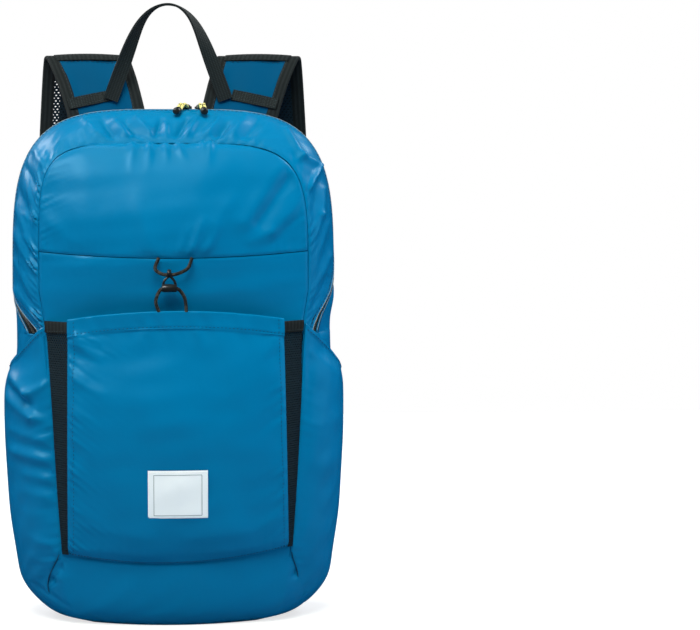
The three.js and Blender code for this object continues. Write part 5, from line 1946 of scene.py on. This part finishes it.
@dataclass
class HaulLoop:
    """The webbing loop at the top, facing front at its roots and lying flat at the top."""

    width: float = 13.6
    centre: float = -4.5
    root_half: float = 52.0
    root_z: float = 456.0
    top_z: float = 543.0
    lean: float = 0.6
    roundness: float = 9.0
    thick: float = 1.8
    root_y: float = 71.5

    def build(self) -> None:
        """Builds and dresses the loop."""
        share = np.linspace(0, 1, 241)
        swing = np.maximum(np.sin(np.pi * (1 - share)), 0.0)
        rise = swing**0.9
        apart = (1 - self.lean * rise) * np.sqrt(np.maximum(1 - rise**self.roundness, 0.0))
        x = self.centre + self.root_half * apart * np.sign(share - 0.5)
        middle = points_at(x, self.root_y, lerp(self.root_z, self.top_z, rise))
        forward = unit(np.gradient(middle, axis=0))
        flat = unit(points_at(forward[:, 2], 0.0, -forward[:, 0]))
        twist = np.radians(90.0 * swing**1.4)[:, None]
        side = np.where(share < 0.5, 1.0, -1.0)[:, None]
        across = flat * side * np.cos(twist) + np.array([0.0, 1.0, 0.0]) * np.sin(twist)
        strip = np.linspace(-0.5, 0.5, 13)
        sheet = Sheet(middle[:, None] + across[:, None] * (strip * self.width)[None, :, None])
        cupped = 0.35 * (1 - (2 * strip) ** 2)[None, :] + 0 * share[:, None]
        made = sheet.raised(cupped).walled(self.thick).piece(
            "haul_loop_webbing", WEBBING, Slot.WEBBING, "haul_loop")
        declare(sheet, Held.STRETCHED)


@dataclass
class CordClosure:
    """The elastic loops of the front panel and the pocket, and the hook that joins them."""

    cord: float = 3.0
    hook: Pair = (-4.0, -86.5)  # its place across and its depth
    eye_z: float = 307.6
    barrel_z: float = 295.0
    barrel: float = 13.0
    wire: float = 2.2
    bore: float = 3.9
    wall: float = 1.5
    upper: Table = (
        (-13, -81, 320.5), (-16, -84.5, 311.5), (-10, -86.5, 306.9), (-4, -86.5, 306.5),
        (2, -86.5, 306.9), (11.5, -84.5, 311.5), (15.5, -81, 320.5),
    )
    lower: Table = (
        (-13, -87.4, 274.5), (-15.5, -86.7, 284), (-11.4, -86.5, 293.6), (-4, -86.5, 295),
        (3.4, -86.5, 294.2), (9, -86.7, 286.5), (10.5, -87.4, 274.5),
    )

    def build(self) -> None:
        """Builds and dresses the closure."""
        for name, route in (("upper", self.upper), ("lower", self.lower)):
            loop = tube(path_through(route, 72), self.cord / 2, sides=12)
            loop.piece(f"{name}_elastic_loop", ELASTIC_CORD, Slot.ELASTIC, f"{name}_loop")
        self.hook_piece()

    def hook_piece(self) -> None:
        """Builds the hook: an eye, two legs and a barrel with rounded lips."""
        x, y = self.hook
        body = Shape()
        inner, outer = self.bore / 2, self.bore / 2 + self.wall
        for half, level in ((self.barrel / 2, self.barrel_z), (self.wire * 0.8, self.eye_z)):
            lip = min(0.7, half / 2)
            section = [(-half + lip, inner), (half - lip, inner), (half, inner + lip), (half, outer - lip),
                       (half - lip, outer), (-half + lip, outer), (-half, outer - lip), (-half, inner + lip)]
            ring_about_x(section, (x, y, level), 24, body)
        rim = self.bore / 2 + self.wall / 2
        for side in (-1.0, 1.0):
            foot = np.array([x + side * (self.barrel / 2 - self.wire / 2), y, self.barrel_z + rim])
            head = np.array([x + side * self.wire * 0.45, y, self.eye_z - rim])
            bow = lerp(foot, head, 0.5) + [side * 0.9, -0.4, 0]
            tube(path_through([foot, bow, head], 14), self.wire / 2, sides=12, shape=body)
        body.piece("cord_hook_body", BLACK_PLASTIC, Slot.PLASTIC, "cord_hook")


@dataclass(frozen=True)
class StudioFloor(Finish):
    """Sheets under the bag: a frosted table top that glows white, and a card that throws light back up."""

    glow: float = 0.0

    def make(self) -> None:
        """Builds a faintly mottled matt sheet, which may glow."""
        tree, shader = self.begin({
            "IOR": 1.49, "Specular IOR Level": 0.1,
            "Emission Color": linear("#ffffff"), "Emission Strength": self.glow,
        })
        body = node(tree, "ShaderNodeTexCoord")
        pulp = node(tree, "ShaderNodeTexNoise", {"Scale": grains(30)}, {"Vector": body.outputs["Object"]})
        self.tint(tree, shader, pulp.outputs["Fac"], (self.roughness, self.roughness + 0.05))


FROSTED_TABLE = StudioFloor("frosted_acrylic_lit", "#a2a5a6", "#a6a8a9", 0.9, glow=0.7)
BOUNCE_CARD = StudioFloor("pale_bounce_card", "#97a2b2", "#9ba6b6", 0.9)


@dataclass
class Studio:
    """The camera at the photograph's angle, a pale floor and soft light."""

    eye: Triple = (0.0, -2400.0, 440.0)
    aim: Triple = (156.0, 0.0, 265.0)
    lens: float = 139.5
    sensor: float = 36.0
    floor_half: float = 1.6
    card_level: float = -0.5 * MM
    lit: Triple = (0.0, 0.0, 0.3)
    # Name, place, size, power, whether it fills, whether it shows as a shine, and tint.
    lights: tuple[tuple, ...] = (
        ("front_softbox", (-0.15, -1.15, 1.65), 1.2, 38.0, True, False, "#ffffee"),
        ("overhead_softbox", (-0.1, -0.4, 2.2), 1.4, 23.0, True, False, "#ffffee"),
        ("key_softbox", (-1.25, -1.25, 1.65), 0.9, 46.0, False, True, "#ffffff"),
        ("top_strip", (-0.4, 0.3, 2.0), 0.4, 3.6, False, True, "#ffffff"),
        ("right_fill", (2.4, -0.5, 0.6), 1.6, 30.0, True, False, "#eef6ff"),
        ("left_fill", (-2.4, -0.7, 0.5), 1.6, 19.0, True, False, "#eef6ff"),
        ("back_softbox", (0.3, 2.4, 1.7), 2.0, 30.0, True, False, "#ffffff"),
        ("left_rim", (-1.5, 1.1, 1.5), 1.1, 27.0, True, True, "#ffffff"),
        ("right_rim", (1.5, 0.9, 1.5), 0.8, 18.0, True, True, "#ffffff"),
    )

    def build(self) -> None:
        """Builds the studio."""
        scene = bpy.context.scene
        scene.view_settings.view_transform = "Standard"
        place, target = (Vector((x, y + DEPTH_SHIFT, z)) * MM for x, y, z in (self.eye, self.aim))
        lens = bpy.data.cameras.new("camera")
        lens.lens, lens.sensor_width = self.lens, self.sensor
        camera = bpy.data.objects.new("camera", lens)
        camera.location = place
        camera.rotation_euler = (target - place).to_track_quat("-Z", "Y").to_euler()
        scene.collection.objects.link(camera)
        scene.camera = camera

        world = bpy.data.worlds.new("white_studio")
        scene.world = world
        world.use_nodes = True
        world.node_tree.nodes["Background"].inputs[0].default_value = linear("#ffffff")
        world.cycles_visibility.diffuse = False
        world.cycles_visibility.glossy = False

        for name, spot, size, power, fills, shines, tint in self.lights:
            lamp = bpy.data.lights.new(name, "AREA")
            lamp.shape = "DISK"
            lamp.size, lamp.energy, lamp.color = size, power, linear(tint)[:3]
            light = bpy.data.objects.new(name, lamp)
            light.location = spot
            light.visible_diffuse, light.visible_glossy = fills, shines
            light.rotation_euler = (Vector(self.lit) - Vector(spot)).to_track_quat("-Z", "Y").to_euler()
            scene.collection.objects.link(light)

        floor = self.table("floor", 0.0, FROSTED_TABLE)
        floor.visible_diffuse = floor.visible_glossy = floor.visible_shadow = False
        card = self.table("bounce_card", self.card_level, BOUNCE_CARD)
        card.visible_camera = card.visible_glossy = False

    def table(self, name: str, level: float, finish: StudioFloor) -> bpy.types.Object:
        """Builds one level sheet that the bag stands on.

        Args:
            name: Its name.
            level: Its height, in metres.
            finish: Its finish.

        Returns:
            The sheet.
        """
        half = self.floor_half
        corners = [(-half, -half, level), (half, -half, level), (half, half, level), (-half, half, level)]
        mesh = bpy.data.meshes.new(name)
        mesh.from_pydata(corners, [], [(0, 1, 2, 3)])
        mesh.materials.append(finish.material())
        made = bpy.data.objects.new(name, mesh)
        bpy.context.scene.collection.objects.link(made)
        return made


def main() -> None:
    """Builds the studio and every sub-assembly."""
    logging.basicConfig(level=logging.INFO, format="%(name)s %(message)s")
    for part in (
        Studio(), CordClosure(), Shell(), MainZip(), FrontPocket(), SidePockets(),
        ShoulderStrap("right", 1.0), ShoulderStrap("left", -1.0), HaulLoop(),
    ):
        LOG.info("building %s", type(part).__name__)
        part.build()


if __name__ == "__main__":
    main()
